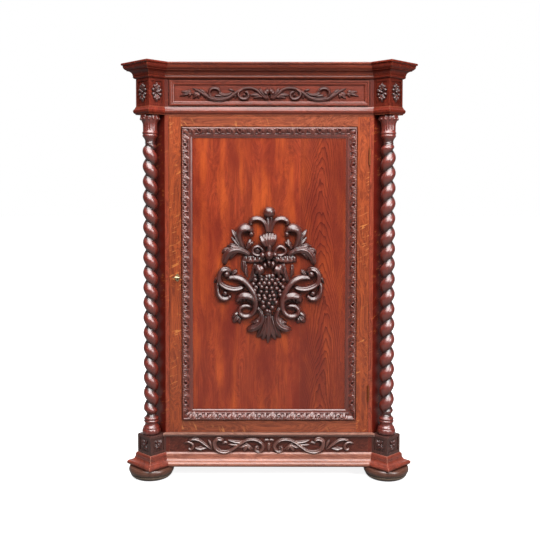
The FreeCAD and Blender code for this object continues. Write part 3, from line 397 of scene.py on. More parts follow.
carved_oak = oak("carved oak", "up", "5e1e13", "2c0d08", seed=7.7, grain=0.5, grime_and_shade=1.0, reach=0.02,
                 clear=0.97, rub=0.3, bare="9a4c38", dents=0.12, polish=0.45, coat=1.0,
                 haze=0.33, shine=1.9)
drawer_scroll_oak = oak("drawer scroll oak", "across", "5a241a", "30110c", seed=5.3, grain=0.5, grime_and_shade=1.0,
                        reach=0.01, clear=0.9, rub=0.5, bare="8e4a38", polish=0.45, haze=0.33, shine=1.55)
# painted highlight: the plinth's scrolls are a paler, lit copy of the carving oak, with wide pale rubbed
# edges
lit_scroll_oak = oak("scroll oak", "across", "7a463a", "4e2a22", seed=4.4, grain=0.5, grime_and_shade=1.0, reach=0.009,
                 rub=0.7, bare="b08474", dents=0.15, polish=0.4, coat=1.0, haze=0.32, shine=2.0)
moulding_oak = oak("carved moulding oak", "up", "7a2e20", "42170f", seed=9.2, grain=0.6, grime_and_shade=1.0,
                   reach=0.008, rub=0.5, bare="a0604c", coat=1.0, haze=0.32, shine=1.85)
twist_oak = oak("twisted column oak", "up", "8a2c1b", "5c190f", seed=3.1, grain=0.35, grime_and_shade=1.0, reach=0.03,
                clear=0.95, rub=0.15, dents=0.08, polish=0.42, coat=1.0, haze=0.34, shine=2.05, rope=True)
dress(carved_oak, "plinth_carving", "drawer_carving", "door_medallion")
dress(moulding_oak, "door_mouldings")
dress(twist_oak, "twist_column_left", "twist_column_right")

unstained = {"light": "b08a60", "dark": "8c6844", "rub": 0.1, "bare": "c09a70", "polish": 0.6, "coat": 0.0}
dress(oak("unstained oak upright", "up", seed=11.0, **unstained), "back_frame", "back_panels")
dress(oak("unstained oak level", "across", seed=12.5, **unstained), "cupboard_floor", "dust_board",
      "shelves", "shelf_cleats", "drawer_guides", "door_stop", "drawer_box")

dress(metal("old brass", "d8c8a0", "8a7048", 0.28), "door_key", "door_escutcheon")
dress(metal("blackened iron", "4a4542", "2c2320", 0.42),
      "door_lock_case", "door_lock_bolt", "drawer_lock_case", "drawer_lock_bolt", "strike_plate")
dress(metal("browned hinge metal", "a8643e", "7a4228", 0.42),
      "frame_hinge_leaves", "door_hinge_leaves", "frame_hinge_screws", "door_hinge_screws", "hinge_pins")


# ---- carving tools
def between(values, t):
    """Smooth value at t from 0 to 1 along evenly spaced values, points or numbers."""
    last = len(values) - 1
    far = min(max(t, 0.0), 1.0) * last
    i = min(int(far), last - 1)
    f = far - i
    a, b, c, d = (values[min(max(k, 0), last)] for k in (i - 1, i, i + 1, i + 2))
    if isinstance(a, (int, float)):
        return b + (c - b) * f * f * (3 - 2 * f)
    return tuple(q + 0.5 * f * (r - p + f * (2 * p - 5 * q + 4 * r - w + f * (3 * (q - r) + w - p)))
                 for p, q, r, w in zip(a, b, c, d))


def mesh_of(bm, name):
    mesh = bpy.data.meshes.new(name)
    bm.to_mesh(mesh)
    bm.free()
    return mesh


def paste(bm, mesh, place=None):
    """Add a mesh to the whole at its place, and drop it."""
    if place:
        mesh.transform(place)
    bm.from_mesh(mesh)
    bpy.data.meshes.remove(mesh)


def join(bm, part, place=None):
    """Add a part made by itself to the whole, which stays quick however large the whole is."""
    paste(bm, mesh_of(part, "part"), place)


def strand(bm, line, widths, rise, flutes=0, cut=0.35, lobes=0, notch=0.3, ground=None, place=None,
           close=4.0, across=14, sink=1.0):
    """Carved strand or leaf, in mm: line is its middle in (right, up), rise its height off its ground.

    widths are half widths along the line.  flutes are gouge cuts along it and cut their depth, lobes
    are notches in its edges and notch their depth, and sink is how far its foot goes below the
    ground.  close is the space between its cross sections, across the number of strips in each.
    """
    size = sum(dist(a, b) for a, b in zip(line, line[1:]))
    steps = max(8, int(size / close), lobes * 6)
    part = bmesh.new()
    bmesh.ops.create_grid(part, x_segments=across + 1, y_segments=steps, size=1.0)
    for v in part.verts:
        t = (v.co.y + 1) / 2                # from 0 to 1 along the line
        u = (v.co.x + 1) / 2 * (across + 1) / across        # from 0 to 1 across its top
        here = between(line, t)
        ahead = between(line, min(t + 0.01, 1.0))
        back = between(line, max(t - 0.01, 0.0))
        run = (ahead[0] - back[0], ahead[1] - back[1])
        length = hypot(*run) or 1.0
        half = between(widths, t)
        if lobes:
            beat = (t * lobes) % 1.0
            half *= 1 - notch * (1 - sin(pi * beat) ** 0.6)
        crest = between(rise, t) if isinstance(rise, (list, tuple)) else rise
        if u > 1.0001:                      # the closing strip under the strand
            side, high = 0.0, -sink
        else:
            side = 2 * u - 1
            dome = min(0.6 * crest, 0.7 * half)             # the rounded part, above steep flanks
            lean = 0.4 * run[0] / length                    # the crest lies on the lower side
            tilted = (side + lean) / (1 + lean * side)
            high = (crest - dome) * max(0.0, 1 - side ** 8) ** 0.5 + dome * (1 - tilted * tilted)
            if flutes:
                groove = 0.5 + 0.5 * cos(2 * pi * flutes * (u + 0.5 / flutes))
                high -= 1.6 * cut * dome * groove ** 2 * (1 - side ** 4)
        taper = min(1.0, t / 0.04, (1 - t) / 0.06) ** 0.5 if 0 < t < 1 else 0.0
        high = high * (0.15 + 0.85 * taper)
        offset = half * side * (0.05 + 0.95 * taper)
        x = here[0] - run[1] / length * offset
        z = here[1] + run[0] / length * offset
        base = ground(x, z) if ground else 0.0
        v.co = Vector((x, -(base + high), z))
    join(bm, part, place)


def ball(bm, x, z, radius, high=None, out=0.0, ribs=0, tall=1.0, place=None):
    """Round berry, bead or bud, in mm, standing high off a middle that is out from the ground.

    ribs are the swellings round a bud, and tall is its height over its width.
    """
    part = bmesh.new()
    bmesh.ops.create_uvsphere(part, u_segments=14, v_segments=9, radius=1.0)
    high = high or radius
    for v in part.verts:
        swell = 1.0
        if ribs:
            swell = 1 - 0.12 * abs(cos(ribs * atan2(v.co.y, v.co.x) / 2)) ** 3
        v.co = Vector((x + v.co.x * radius * swell, -out + v.co.y * high * swell, z + v.co.z * radius * tall))
    join(bm, part, place)


def carver(bm, place, **more):
    """The strand and ball tools, held to one piece and one place."""
    return partial(strand, bm, place=place, **more), partial(ball, bm, place=place)


def fan(leaf, root, tips, widths, rise, lift=0, **more):
    """Lobes of one leaf: each runs from the root to its own tip, with its middle lifted."""
    for x, z in tips:
        leaf([root, ((x + root[0]) / 2, (z + root[1]) / 2 + lift), (x, z)], widths, rise, **more)


def add_object(name, data):
    made = bpy.data.objects.new(name, data)
    bpy.context.scene.collection.objects.link(made)
    return made


def finish_piece(bm, name, material, body):
    """Merge seams, turn faces outwards and hang the piece on its body."""
    bmesh.ops.remove_doubles(bm, verts=bm.verts[:], dist=0.01 * MM)
    bmesh.ops.recalc_face_normals(bm, faces=bm.faces[:])
    mesh = mesh_of(bm, name)
    for face in mesh.polygons:
        face.use_smooth = True
    piece = add_object(name, mesh)
    mesh.materials.append(material)
    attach(piece, body)
    return piece


IN_MM = Matrix.Scale(MM, 4)
MIRROR = Matrix.Scale(-1, 4, (1, 0, 0))


def both_halves(half, y, z=0.0):
    """A carving begun with its two halves, and its place in mm on a face that is at y."""
    bm = bmesh.new()
    place = Matrix.Translation((0, y, z)) @ IN_MM
    half(bm, place)
    half(bm, MIRROR @ place)
    return bm, place


# ---- door medallion
def half_medallion(bm, place):
    """Scrolls and leaves to the right of the medallion's middle, in mm from its centre."""
    leaf, bead = carver(bm, place)
    # crown: arch off the stem, and the big curled leaf below it
    leaf([(5, 160), (9, 182), (15, 200), (26, 213), (42, 219), (58, 217), (68, 209), (68, 200), (59, 199)],
         [5, 8, 9, 9, 9, 9, 8, 7, 4], [12, 18, 22, 24, 25, 24, 22, 19, 14], flutes=1, cut=0.15)
    leaf([(92, 100), (104, 124), (111, 146), (112, 163), (104, 177), (90, 183), (77, 181), (69, 173),
          (68, 164)], [5, 9, 11, 13, 16, 17, 15, 11, 6], [12, 20, 25, 29, 33, 34, 31, 26, 18])
    bead(67, 160, 11, high=15, out=9)
    leaf([(86, 104), (76, 122), (70, 142)], [5, 11, 3], [14, 22, 12], lobes=3, flutes=1)
    leaf([(78, 118), (66, 126), (62, 134)], [4, 7, 3], [12, 16, 9])
    leaf([(97, 106), (113, 132), (128, 156), (142, 177)], [5, 9, 9, 2], [14, 21, 19, 7], flutes=1, cut=0.45)
    leaf([(99, 104), (121, 126), (143, 149)], [5, 8, 2], [13, 19, 7], flutes=1, cut=0.4)
    # acanthus arch
    leaf([(68, 77), (88, 91), (109, 100), (130, 101), (149, 93), (161, 77), (168, 58), (169, 40)],
         [6, 10, 13, 15, 16, 15, 11, 3], [14, 21, 26, 29, 29, 26, 20, 9], flutes=2)
    leaf([(117, 97), (136, 84), (147, 63)], [6, 9, 3], [20, 22, 9], flutes=1, cut=0.4)
    leaf([(110, 107), (138, 117), (160, 114)], [8, 8, 2], [18, 20, 7], flutes=1, cut=0.4)
    leaf([(146, 103), (167, 99), (179, 87)], [8, 8, 2], [18, 18, 7], flutes=1, cut=0.4)
    # hanging leaves beside the fruit
    leaf([(52, 50), (57, 18), (66, -8), (77, -24)], [7, 10, 8, 2], [12, 16, 14, 6], flutes=2, cut=0.4)
    leaf([(88, 44), (87, 16), (80, -6)], [5, 8, 2], [11, 14, 6], flutes=1, cut=0.4, lobes=3)
    # side volute with its outer band
    leaf([(148, 10), (150, 21), (162, 28), (177, 23), (187, 7), (188, -12), (180, -29), (159, -42),
          (134, -48), (109, -45), (90, -35)],
         [4, 8, 10, 10.5, 10.5, 10.5, 10.5, 10.5, 10, 9, 3], [14, 22, 27, 29, 29, 28, 27, 27, 26, 22, 12],
         flutes=1, cut=0.2, close=3.0)
    bead(160, 8, 12.5, high=16, out=12)
    # long stem: over the eye, down beside the fruit and round the lower ring
    leaf([(165, -12), (146, -5), (121, -5), (97, -15), (77, -34), (60, -60), (51, -86), (50, -109),
          (56, -131), (72, -148), (93, -151), (109, -141), (111, -125), (98, -113), (78, -112), (58, -122)],
         [3, 9, 11, 12, 12, 13, 13, 12, 11, 10, 10, 10, 9, 9, 8, 7],
         [14, 21, 25, 27, 28, 28, 27, 26, 25, 24, 24, 24, 23, 23, 21, 18], close=3.0)
    # hooked leaf over the ring
    leaf([(53, -108), (57, -89), (72, -76), (91, -72), (108, -77), (117, -90), (118, -105)],
         [6, 12, 15, 16, 15, 11, 3], [16, 27, 33, 35, 32, 25, 12])
    for x, z, ex, ez in ((78, -84, 80, -97), (93, -84, 97, -98), (106, -88, 109, -101)):
        leaf([(x, z), (ex, ez)], [7, 5], [24, 14])
    # small tuft outside the ring
    leaf([(112, -139), (128, -146), (140, -161)], [6, 8, 3], [13, 16, 8])
    leaf([(112, -150), (126, -163), (137, -177)], [7, 10, 4], [14, 18, 8], flutes=1, cut=0.4)
    leaf([(108, -154), (112, -168), (107, -181)], [6, 8, 3], [12, 15, 7])
    # outer curl with its bead, and the thin leaf beside it
    leaf([(190, -16), (196, -39), (193, -65), (181, -82), (163, -86), (150, -78), (149, -67)],
         [6, 9, 10.5, 11, 10, 9, 5], [11, 17, 20, 21, 20, 18, 10])
    bead(166, -65, 11, high=13, out=7)
    leaf([(191, 0), (201, -12), (210, -28)], [4, 5, 1], [9, 10, 4])
    leaf([(122, 25), (132, 14), (146, 9)], [4, 9, 4], [10, 15, 9], flutes=1, cut=0.5)
    # lower leaves
    leaf([(46, -116), (33, -133), (27, -152), (30, -172), (43, -188), (63, -198), (85, -203)],
         [5, 8, 9, 11, 14, 14, 6], [18, 23, 25, 27, 28, 26, 14], flutes=2)
    leaf([(33, -155), (46, -170), (68, -177)], [5, 10, 5], [18, 20, 11], lobes=4, flutes=1)
    leaf([(8, -150), (19, -182), (30, -211), (46, -235)], [6, 11, 12, 3], [18, 23, 20, 8], flutes=2, cut=0.4)
    leaf([(5, -158), (9, -190), (16, -219), (26, -242)], [5, 9, 10, 3], [17, 21, 18, 8], flutes=1, cut=0.4)
    # swag of pleated cloth
    leaf([(10, 72), (40, 67), (62, 64), (84, 66), (98, 62)], [14, 16, 16, 17, 13], [15, 16, 15, 13, 8])
    for i in range(5):
        x = 26 + 17 * i
        leaf([(x - 2, 83 - 2 * i), (x + 1, 68), (x + 4, 48 + i)], [6.5, 9.5, 8.5], [14, 18.5 - i, 13])


def medallion():
    """The whole medallion: both halves, and what stands in its middle."""
    bm, place = both_halves(half_medallion, panel_y, medallion_z)
    leaf, bead = carver(bm, place)
    bead(0, 242, 24, high=21, out=17, ribs=8, tall=0.84)
    leaf([(0, 232), (0, 216), (0, 194), (0, 164)], [14, 15, 11, 8], [18, 20, 19, 15], flutes=1, cut=0.45)
    # fan of leaves over the knot
    for x, top in ((-20, 161), (-9, 165), (3, 166), (14, 165), (24, 160)):
        leaf([(x * 0.3, 112), (x * 0.8, 138), (x, top)], [4, 9, 6], [17, 25, 14], flutes=1, cut=0.4)
    leaf([(-9, 112), (-22, 134), (-34, 156)], [6, 11, 6], [30, 42, 26], flutes=1, cut=0.2)
    leaf([(0, 128), (0, 108), (0, 84)], [11, 13, 13], [17, 18, 14])
    # knot: a pad and a loop, then the rose and two buds
    for flip in (-1, 1):
        loop = ((20, 84), (27, 104), (42, 114), (59, 106), (61, 90), (46, 80), (26, 82))
        leaf([(flip * x, z) for x, z in loop], [5, 6, 6, 6, 6, 6, 5], [16, 20, 20, 20, 20, 20, 16])
    bead(-44, 97, 16, high=9, out=2)
    bead(0, 80, 17, high=20, out=24, ribs=7)
    bead(0, 80, 9, high=13, out=38, ribs=5)
    bead(-25, 80, 12, high=15, out=22, ribs=3)
    bead(22, 82, 10, high=13, out=20, ribs=3)
    leaf([(-3, 66), (0, 52), (2, 36)], [5, 8, 4], [26, 34, 26])
    leaf([(-14, 54), (-15, 42), (-10, 28)], [5, 9, 5], [22, 30, 22])
    leaf([(11, 60), (15, 46), (11, 30)], [5, 10, 5], [24, 33, 24])
    # cloth end that hangs on the left
    leaf([(-96, 60), (-97, 38), (-93, 14)], [9, 11, 4], [16, 19, 9], flutes=2, cut=0.4)
    # vine leaves on the bunch
    for root, tips in (((-31, 42), ((-55, 27), (-50, 9), (-36, 0), (-22, 10))),
                       ((31, 42), ((56, 28), (52, 9), (38, 1), (23, 8)))):
        fan(leaf, root, tips, [5, 9, 5], [34, 44, 30], lift=3, flutes=1, cut=0.2, close=3.0)
    # bunch of grapes: rows narrow towards the tip
    rng = random.Random(7)
    for row, half in enumerate((44, 50, 52, 48, 44, 38, 30, 23, 15, 7, 0)):
        z = 2 - 14.6 * row
        count = 1 + int(round(2 * half / 21))
        for i in range(count):
            x = -3 + (0 if count == 1 else -half + 2 * half * i / (count - 1))
            x += rng.uniform(-3, 3) + (4 if row % 2 else -4) * (count > 2)
            dome = 1 - (x / 64) ** 2 - ((z + 55) / 120) ** 2
            bead(x, z + rng.uniform(-3, 3), rng.uniform(8.2, 9.8), high=rng.uniform(9, 11),
                 out=6 + 22 * max(0.0, dome) + rng.uniform(-3, 4))
    # body under the fruit
    heart = bmesh.new()
    bmesh.ops.create_uvsphere(heart, u_segments=28, v_segments=18, radius=1.0)
    for v in heart.verts:
        z = v.co.z
        depth = 12 if v.co.y < 0 else 2
        v.co = Vector((v.co.x * (50 + 12 * z - 10 * (1 - z) * (z < 0)), v.co.y * depth, -68 + 76 * z))
    join(bm, heart, place)
    # central vein down to the tail
    leaf([(0, -128), (0, -170), (-1, -215), (-5, -258)], [7, 11, 11, 2], [20, 25, 21, 7], flutes=1, cut=0.3)
    piece = finish_piece(bm, "medallion_carving", carved_oak, "door")
    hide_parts("door_medallion")


medallion()


# ---- plinth and drawer scrolls
def plinth_half(bm, place):
    """Scrolls to the left of the plinth's middle, in mm, with heights from the floor."""
    leaf, bead = carver(bm, place, close=3.0)
    # end curl, and the long leaf over it
    leaf([(-326, 127), (-307, 133), (-291, 125), (-289, 112), (-298, 104), (-307, 110)], [2, 4, 5, 5, 4, 3],
         [5, 9, 10, 10, 9, 6])
    leaf([(-306, 138), (-292, 144), (-272, 143), (-253, 133), (-235, 118), (-217, 103)], [3, 5, 6, 6, 5, 2],
         [7, 10, 11, 11, 10, 5], flutes=1)
    leaf([(-282, 110), (-261, 108), (-238, 110)], [3, 9, 2], [6, 10, 5], lobes=3, flutes=1)
    leaf([(-231, 142), (-222, 126), (-216, 106)], [2, 6, 2], [6, 10, 5])
    # main scroll: bulb, low turn, arch and inner spiral
    leaf([(-187, 136), (-178, 142), (-193, 146), (-206, 135), (-205, 117), (-193, 102), (-171, 95),
          (-148, 100), (-125, 115), (-103, 131), (-80, 142), (-57, 144), (-35, 136), (-22, 121), (-25, 106),
          (-38, 97), (-50, 103), (-48, 115), (-37, 115)],
         [4, 7, 8, 9, 9, 8, 7, 6, 6, 6, 6, 6, 6, 6, 6, 5, 5, 4, 3],
         [10, 14, 15, 15, 14, 13, 12, 11, 11, 11, 11, 12, 12, 12, 12, 11, 10, 9, 8], flutes=1, cut=0.3)
    bead(-41, 108, 4, high=6, out=3)
    leaf([(-98, 132), (-126, 134), (-156, 141)], [6, 6, 2], [9, 10, 5], flutes=1)
    leaf([(-116, 121), (-136, 122), (-156, 123)], [5, 4, 1.5], [8, 8, 4])
    leaf([(-180, 128), (-164, 132), (-156, 126)], [3, 5, 2], [7, 8, 4])
    # leaf under the arch, and its stem
    for x, z, half in ((-118, 112, 5), (-96, 98, 8), (-80, 112, 5), (-66, 102, 4)):
        fan(leaf, (-84, 124), ((x, z),), [3, half, 2], [7, 11, 5], lift=-2, flutes=1, cut=0.3)
    leaf([(-90, 130), (-74, 118), (-58, 102)], [2, 4, 2], [7, 8, 4])
    leaf([(-20, 138), (-10, 142), (0, 140)], [2, 4, 3], 7)


def plinth_carving():
    bm, place = both_halves(plinth_half, front_y)
    leaf, bead = carver(bm, place)
    bead(0, 124, 7, high=9, ribs=6)
    leaf([(0, 128), (0, 114), (0, 99)], [3, 7, 2], 8, flutes=1)
    piece = finish_piece(bm, "plinth_scroll", lit_scroll_oak, "carcass")
    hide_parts("plinth_carving")


def drawer_half(bm, place):
    """Scrolls to the left of the drawer's middle, in mm, with heights from the floor."""
    leaf, bead = carver(bm, place, close=3.0)
    # two lobed end leaves
    fan(leaf, (-292, 1458), ((-336, 1445), (-330, 1462), (-308, 1467), (-304, 1440)), [3, 6, 2], [6, 9, 4],
        flutes=1, cut=0.3)
    fan(leaf, (-264, 1458), ((-288, 1434), (-290, 1449), (-266, 1434)), [3, 7, 2], [6, 9, 4],
        flutes=1, cut=0.3)
    # running stem, thick in its low turns
    leaf([(-289, 1475), (-262, 1461), (-238, 1446), (-216, 1435), (-186, 1431), (-156, 1436), (-136, 1448),
          (-117, 1461), (-98, 1471), (-72, 1474), (-50, 1467), (-34, 1453), (-18, 1440), (-2, 1432)],
         [2, 5, 7, 9, 9, 7, 6, 5, 5, 5, 5, 6, 7, 5], [6, 10, 12, 13, 13, 12, 11, 10, 10, 11, 11, 12, 12, 9],
         flutes=2, cut=0.3)
    leaf([(-263, 1470), (-248, 1462), (-232, 1448)], [2, 5, 2], [6, 9, 5])
    # leaf curl with its eye
    leaf([(-214, 1436), (-224, 1450), (-223, 1464), (-211, 1473), (-196, 1472), (-188, 1463), (-192, 1454)],
         [5, 6, 7, 7, 7, 6, 3], [9, 11, 12, 13, 12, 11, 7])
    leaf([(-190, 1460), (-176, 1450), (-156, 1450), (-136, 1460)], [4, 6, 5, 2], [9, 11, 9, 5], flutes=1)
    leaf([(-204, 1446), (-188, 1446), (-170, 1442)], [4, 6, 3], [8, 10, 7])
    leaf([(-152, 1470), (-142, 1468), (-130, 1462)], [2, 4, 2], [5, 7, 4])
    leaf([(-140, 1456), (-128, 1446), (-128, 1432)], [3, 6, 2], [6, 9, 4], flutes=1)
    # spiral with its bead
    leaf([(-98, 1471), (-113, 1461), (-116, 1447), (-104, 1435), (-86, 1435), (-78, 1447), (-84, 1459),
          (-96, 1459)], [4, 5, 6, 6, 6, 5, 5, 3], [9, 11, 12, 12, 12, 11, 10, 7])
    bead(-94, 1448, 5, high=7, out=4)
    # leaf under the arch, and the tall leaf beside the shell
    fan(leaf, (-24, 1446), ((-74, 1448), (-62, 1436), (-42, 1433)), [4, 7, 2], [8, 11, 5], lift=3,
        flutes=1, cut=0.3)
    leaf([(-4, 1434), (-19, 1450), (-30, 1462), (-37, 1475)], [4, 6, 6, 2], [9, 12, 12, 5], flutes=1, cut=0.4)


def drawer_carving():
    bm, place = both_halves(drawer_half, drawer_y)
    leaf, _ = carver(bm, place)
    for angle in (-52, -24, 24, 52):        # the shell round the keyhole
        lean = radians(angle)
        root = (7 * sin(lean), 1445 + 7 * cos(lean))
        tip = (26 * sin(lean), 1447 + 28 * cos(lean))
        fan(leaf, root, (tip,), [3, 8, 6], [11, 16, 9], flutes=1, cut=0.2)
    for side in (-1, 1):
        leaf([(side * 4, 1432), (side * 8, 1444), (side * 5, 1456)], [2, 3, 2], 10)
    piece = finish_piece(bm, "drawer_scroll", drawer_scroll_oak, "drawer")
    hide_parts("drawer_carving")


plinth_carving()
drawer_carving()


# ---- leaf border of the door
PATTERN = 78                                # drawn length of the border's leaf pattern, in mm


def slope(a, b):
    """Face of the door's moulding over the panel, b in from its outer edge, in mm."""
    return 12.4 - 0.3 * max(0.0, b - 5)


def border_unit(pitch):
    """Running leaf pattern on the sloping face of the moulding, one pitch long: a runs along, b inwards."""
    bm = bmesh.new()

    def leaf(line, widths, rise, **more):
        line = [(a * pitch / PATTERN, b) for a, b in line]
        strand(bm, line, [1.2 * w for w in widths], [1.35 * r for r in rise],
               ground=slope, across=8, sink=5.0, **more)

    # broad leaf
    leaf([(-31, 4), (-28, 13), (-24, 21), (-20, 30)], [5, 8, 8, 2], [4.6, 5.2, 3.4, 1], flutes=2, cut=0.5)
    leaf([(-34, 5), (-37, 13), (-35, 22)], [3, 5, 2], [4.4, 4, 1], flutes=1)
    leaf([(-26, 5), (-17, 11), (-12, 21)], [4, 5, 2], [4.4, 4, 1], flutes=1)
    # scroll with its hollow eye
    leaf([(-6, 6), (-8, 13), (-3, 20), (6, 20), (9, 12), (5, 6), (-1, 8)], [3, 3.4, 3.4, 3.4, 3.4, 3, 2],
         [4.4, 4.2, 3.4, 3.4, 4.2, 4.6, 3], close=3.0)
    # narrow leaf
    leaf([(20, 4), (22, 13), (26, 26)], [4, 7, 2], [4.6, 4.4, 1], flutes=1, cut=0.5)
    leaf([(15, 6), (13, 13), (16, 22)], [3, 4.4, 1.5], [4.4, 4, 1])
    leaf([(27, 5), (33, 10), (36, 19)], [3, 4.6, 1.5], [4.4, 4, 1])
    return mesh_of(bm, "border unit")


def door_border():
    """Leaf patterns and a row of beads along each of the door's four mouldings."""
    low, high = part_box("door_mouldings")
    wide, tall = high.x - low.x, high.z - low.z
    middle = Vector(((low.x + high.x) / 2, panel_y, (low.z + high.z) / 2))
    corners, bead_space = 56, 9
    bm = bmesh.new()
    for length, reach, angles in ((tall, wide, (90, 270)), (wide, tall, (0, 180))):
        span = length / MM - corners
        count = round(span / PATTERN)
        pitch = span / count
        unit = border_unit(pitch)
        for angle in angles:
            turn = Matrix.Translation(middle) @ Matrix.Rotation(radians(angle), 4, "Y")
            turn = turn @ Matrix.Translation((0, 0, -reach / 2)) @ IN_MM
            if angle >= 180:                    # all lengths run down or to the right
                turn = turn @ MIRROR
            for i in range(count):
                paste(bm, unit.copy(), turn @ Matrix.Translation(((i - (count - 1) / 2) * pitch, 0, 0)))
            leaf, bead = carver(bm, turn)
            beads = int(span / bead_space)
            for i in range(beads):
                bead(span * ((i + 0.5) / beads - 0.5), 3.4, 2.9, high=2.4, out=13.6)
            end = -length / MM / 2
            leaf([(end + 7, 7), (end + 16, 16), (end + 29, 29)], [4, 8, 2], [1, 4.5, 1.5],
                 ground=slope, across=8, sink=5.0, flutes=2)
    finish_piece(bm, "door_leaf_border", moulding_oak, "door")


door_border()


# ---- rosettes of the corner blocks
def garland(bm, place):
    """Upright oval of petals round a bead, with a leaf above and below, in mm from the panel's centre."""
    leaf, bead = carver(bm, place, close=3.0, across=8)
    for i in range(10):
        turn = radians(18 + 36 * i)
        x, z = 16.5 * cos(turn), 26 * sin(turn)
        bead(x, z, 6.4, high=7, out=1.5)
        leaf([(0.3 * x, 0.3 * z), (0.8 * x, 0.8 * z)], [3, 5], [4, 6])
    leaf([(0, -8), (0, -20), (0, -37)], [5, 9, 3], [5, 9, 4], flutes=1, cut=0.4)
    leaf([(0, 10), (0, 22), (0, 37)], [4, 7, 2], [5, 8, 3], flutes=1, cut=0.4)
    bead(0, 1, 5.4, high=5, out=5)


def quatrefoil(bm, place):
    """Long and short slanting leaves round a bead, in mm from the panel's centre."""
    leaf, bead = carver(bm, place, close=3.0, across=8)
    for turn in range(8):
        lean = radians(45 * turn)
        far, half = (24, 6) if turn % 2 else (17, 4)
        x, z = far * 0.86 * cos(lean), far * sin(lean)
        bend = (x * 0.55 - z * 0.08, z * 0.55 + x * 0.08)
        leaf([(x * 0.12, z * 0.12), bend, (x, z)], [3, half, 2], [4, 7, 3], flutes=1, cut=0.4)
    bead(0, 0, 4.6, high=5, out=4)


def block_carvings():
    """Carving in the sunk panels of the blocks over and under the columns, in mm."""
    cant_front, cant_rear = (392.3, 0.0), (450.0, 57.7)     # ends of the right canted face
    stand, sunk = 72, 3                                     # of the blocks, and of their panels
    reach = stand * sqrt(0.5)
    corners = [cant_front] + [(x + reach, y - reach) for x, y in (cant_front, cant_rear)] + [cant_rear]
    for part, (z0, z1), draw in (("frieze", frieze_block, garland), ("pedestal", pedestal_block, quatrefoil)):
        for side, word in ((1, "right"), (-1, "left")):
            bm = bmesh.new()
            for a, b in zip(corners, corners[1:]):
                out = Vector((b[1] - a[1], a[0] - b[0], 0)).normalized()
                centre = Vector(((a[0] + b[0]) / 2, (a[1] + b[1]) / 2, 0)) - out * sunk
                spin = atan2(out.x, -out.y)
                place = Matrix.Translation((centre.x * MM, front_y + centre.y * MM, (z0 + z1) / 2 * MM))
                place = place @ Matrix.Rotation(spin, 4, "Z") @ IN_MM
                draw(bm, MIRROR @ place if side < 0 else place)
            finish_piece(bm, f"{part}_rosettes_{word}", carved_oak, "carcass")


block_carvings()


# ---- columns
def curve(start, end, rise, count=5):
    """Points after start on an arc to end that swells to the left of its run."""
    (x0, z0), (x1, z1) = start, end
    length = dist(start, end)
    points = []
    for i in range(1, count + 1):
        t = i / count
        swell = 4 * rise * t * (1 - t) / length
        points.append((x0 + (x1 - x0) * t - (z1 - z0) * swell, z0 + (z1 - z0) * t + (x1 - x0) * swell))
    return points


def lathe(bm, outline, shape, place, steps=72):
    """Turned skin from (radius, height) points in mm; shape gives each point's radius and turn."""
    part = bmesh.new()
    ring = [part.verts.new((r, 0, z)) for r, z in outline]
    edges = [part.edges.new(pair) for pair in zip(ring, ring[1:])]
    bmesh.ops.spin(part, geom=ring + edges, cent=(0, 0, 0), axis=(0, 0, 1), angle=2 * pi,
                   steps=steps, use_merge=True)
    for v in part.verts:
        radius, turn = shape(atan2(v.co.y, v.co.x), v.co.z, hypot(v.co.x, v.co.y))
        v.co.x, v.co.y = radius * cos(turn), radius * sin(turn)
    join(bm, part, place)


def smoothstep(t):
    """0 up to t = 0 and 1 from t = 1, with a soft rise between."""
    t = min(max(t, 0.0), 1.0)
    return t * t * (3 - 2 * t)


def gouged(angle, count, deep, blunt):
    """Depth of count gouge cuts round a turned piece, at an angle round it."""
    return deep * (1 - abs(cos(count / 2 * angle)) ** blunt)


def column_outline(low, high):
    """Outline as (radius, height) in mm: base, shaft from low to high, and capital."""
    base = [(20, 0), (29.8, 0.3), (32.6, 3), (34.4, 7), (35.0, 11), (34.7, 15), (33.3, 18.5), (31.4, 20.8),
            (30.4, 22), (31.5, 23.4), (31.4, 25.6), (29.6, 28.6), (26.8, 31.6), (24.6, 35), (23.8, 39),
            (24.2, 43), (25.2, 45)]
    base += curve((25.2, 45), (25.2, 54.4), -2.8, 7) + [(24.4, 55)]
    base += curve((25.2, 55.6), (25.2, 64.6), -2.8, 7) + [(23.8, 65.4)] + curve((23.8, 65.4), (18.5, 73.6), 1)
    bell = [(20, 0), (33.4, -0.3), (35.6, -3), (36.8, -8), (36.6, -12), (35.4, -16), (33.0, -19.5),
            (30.4, -24), (28.2, -29), (26.8, -34), (26.2, -39), (26.0, -45), (26.0, -52), (26.2, -58),
            (26.5, -60), (27, -63)]
    bell += curve((27, -63), (27, -72.5), 2.2) + [(26.5, -73.5)] + curve((26.5, -73.5), (26, -83), 2.2)
    bell += [(25, -85)] + curve((25, -85), (18.5, -104.6), -2.5)
    rows = 320
    shaft = [(20, low + (high - low) * i / rows) for i in range(rows + 1)]
    return [(r, column_foot + z) for r, z in base] + shaft + [(r, column_top + z) for r, z in reversed(bell)]


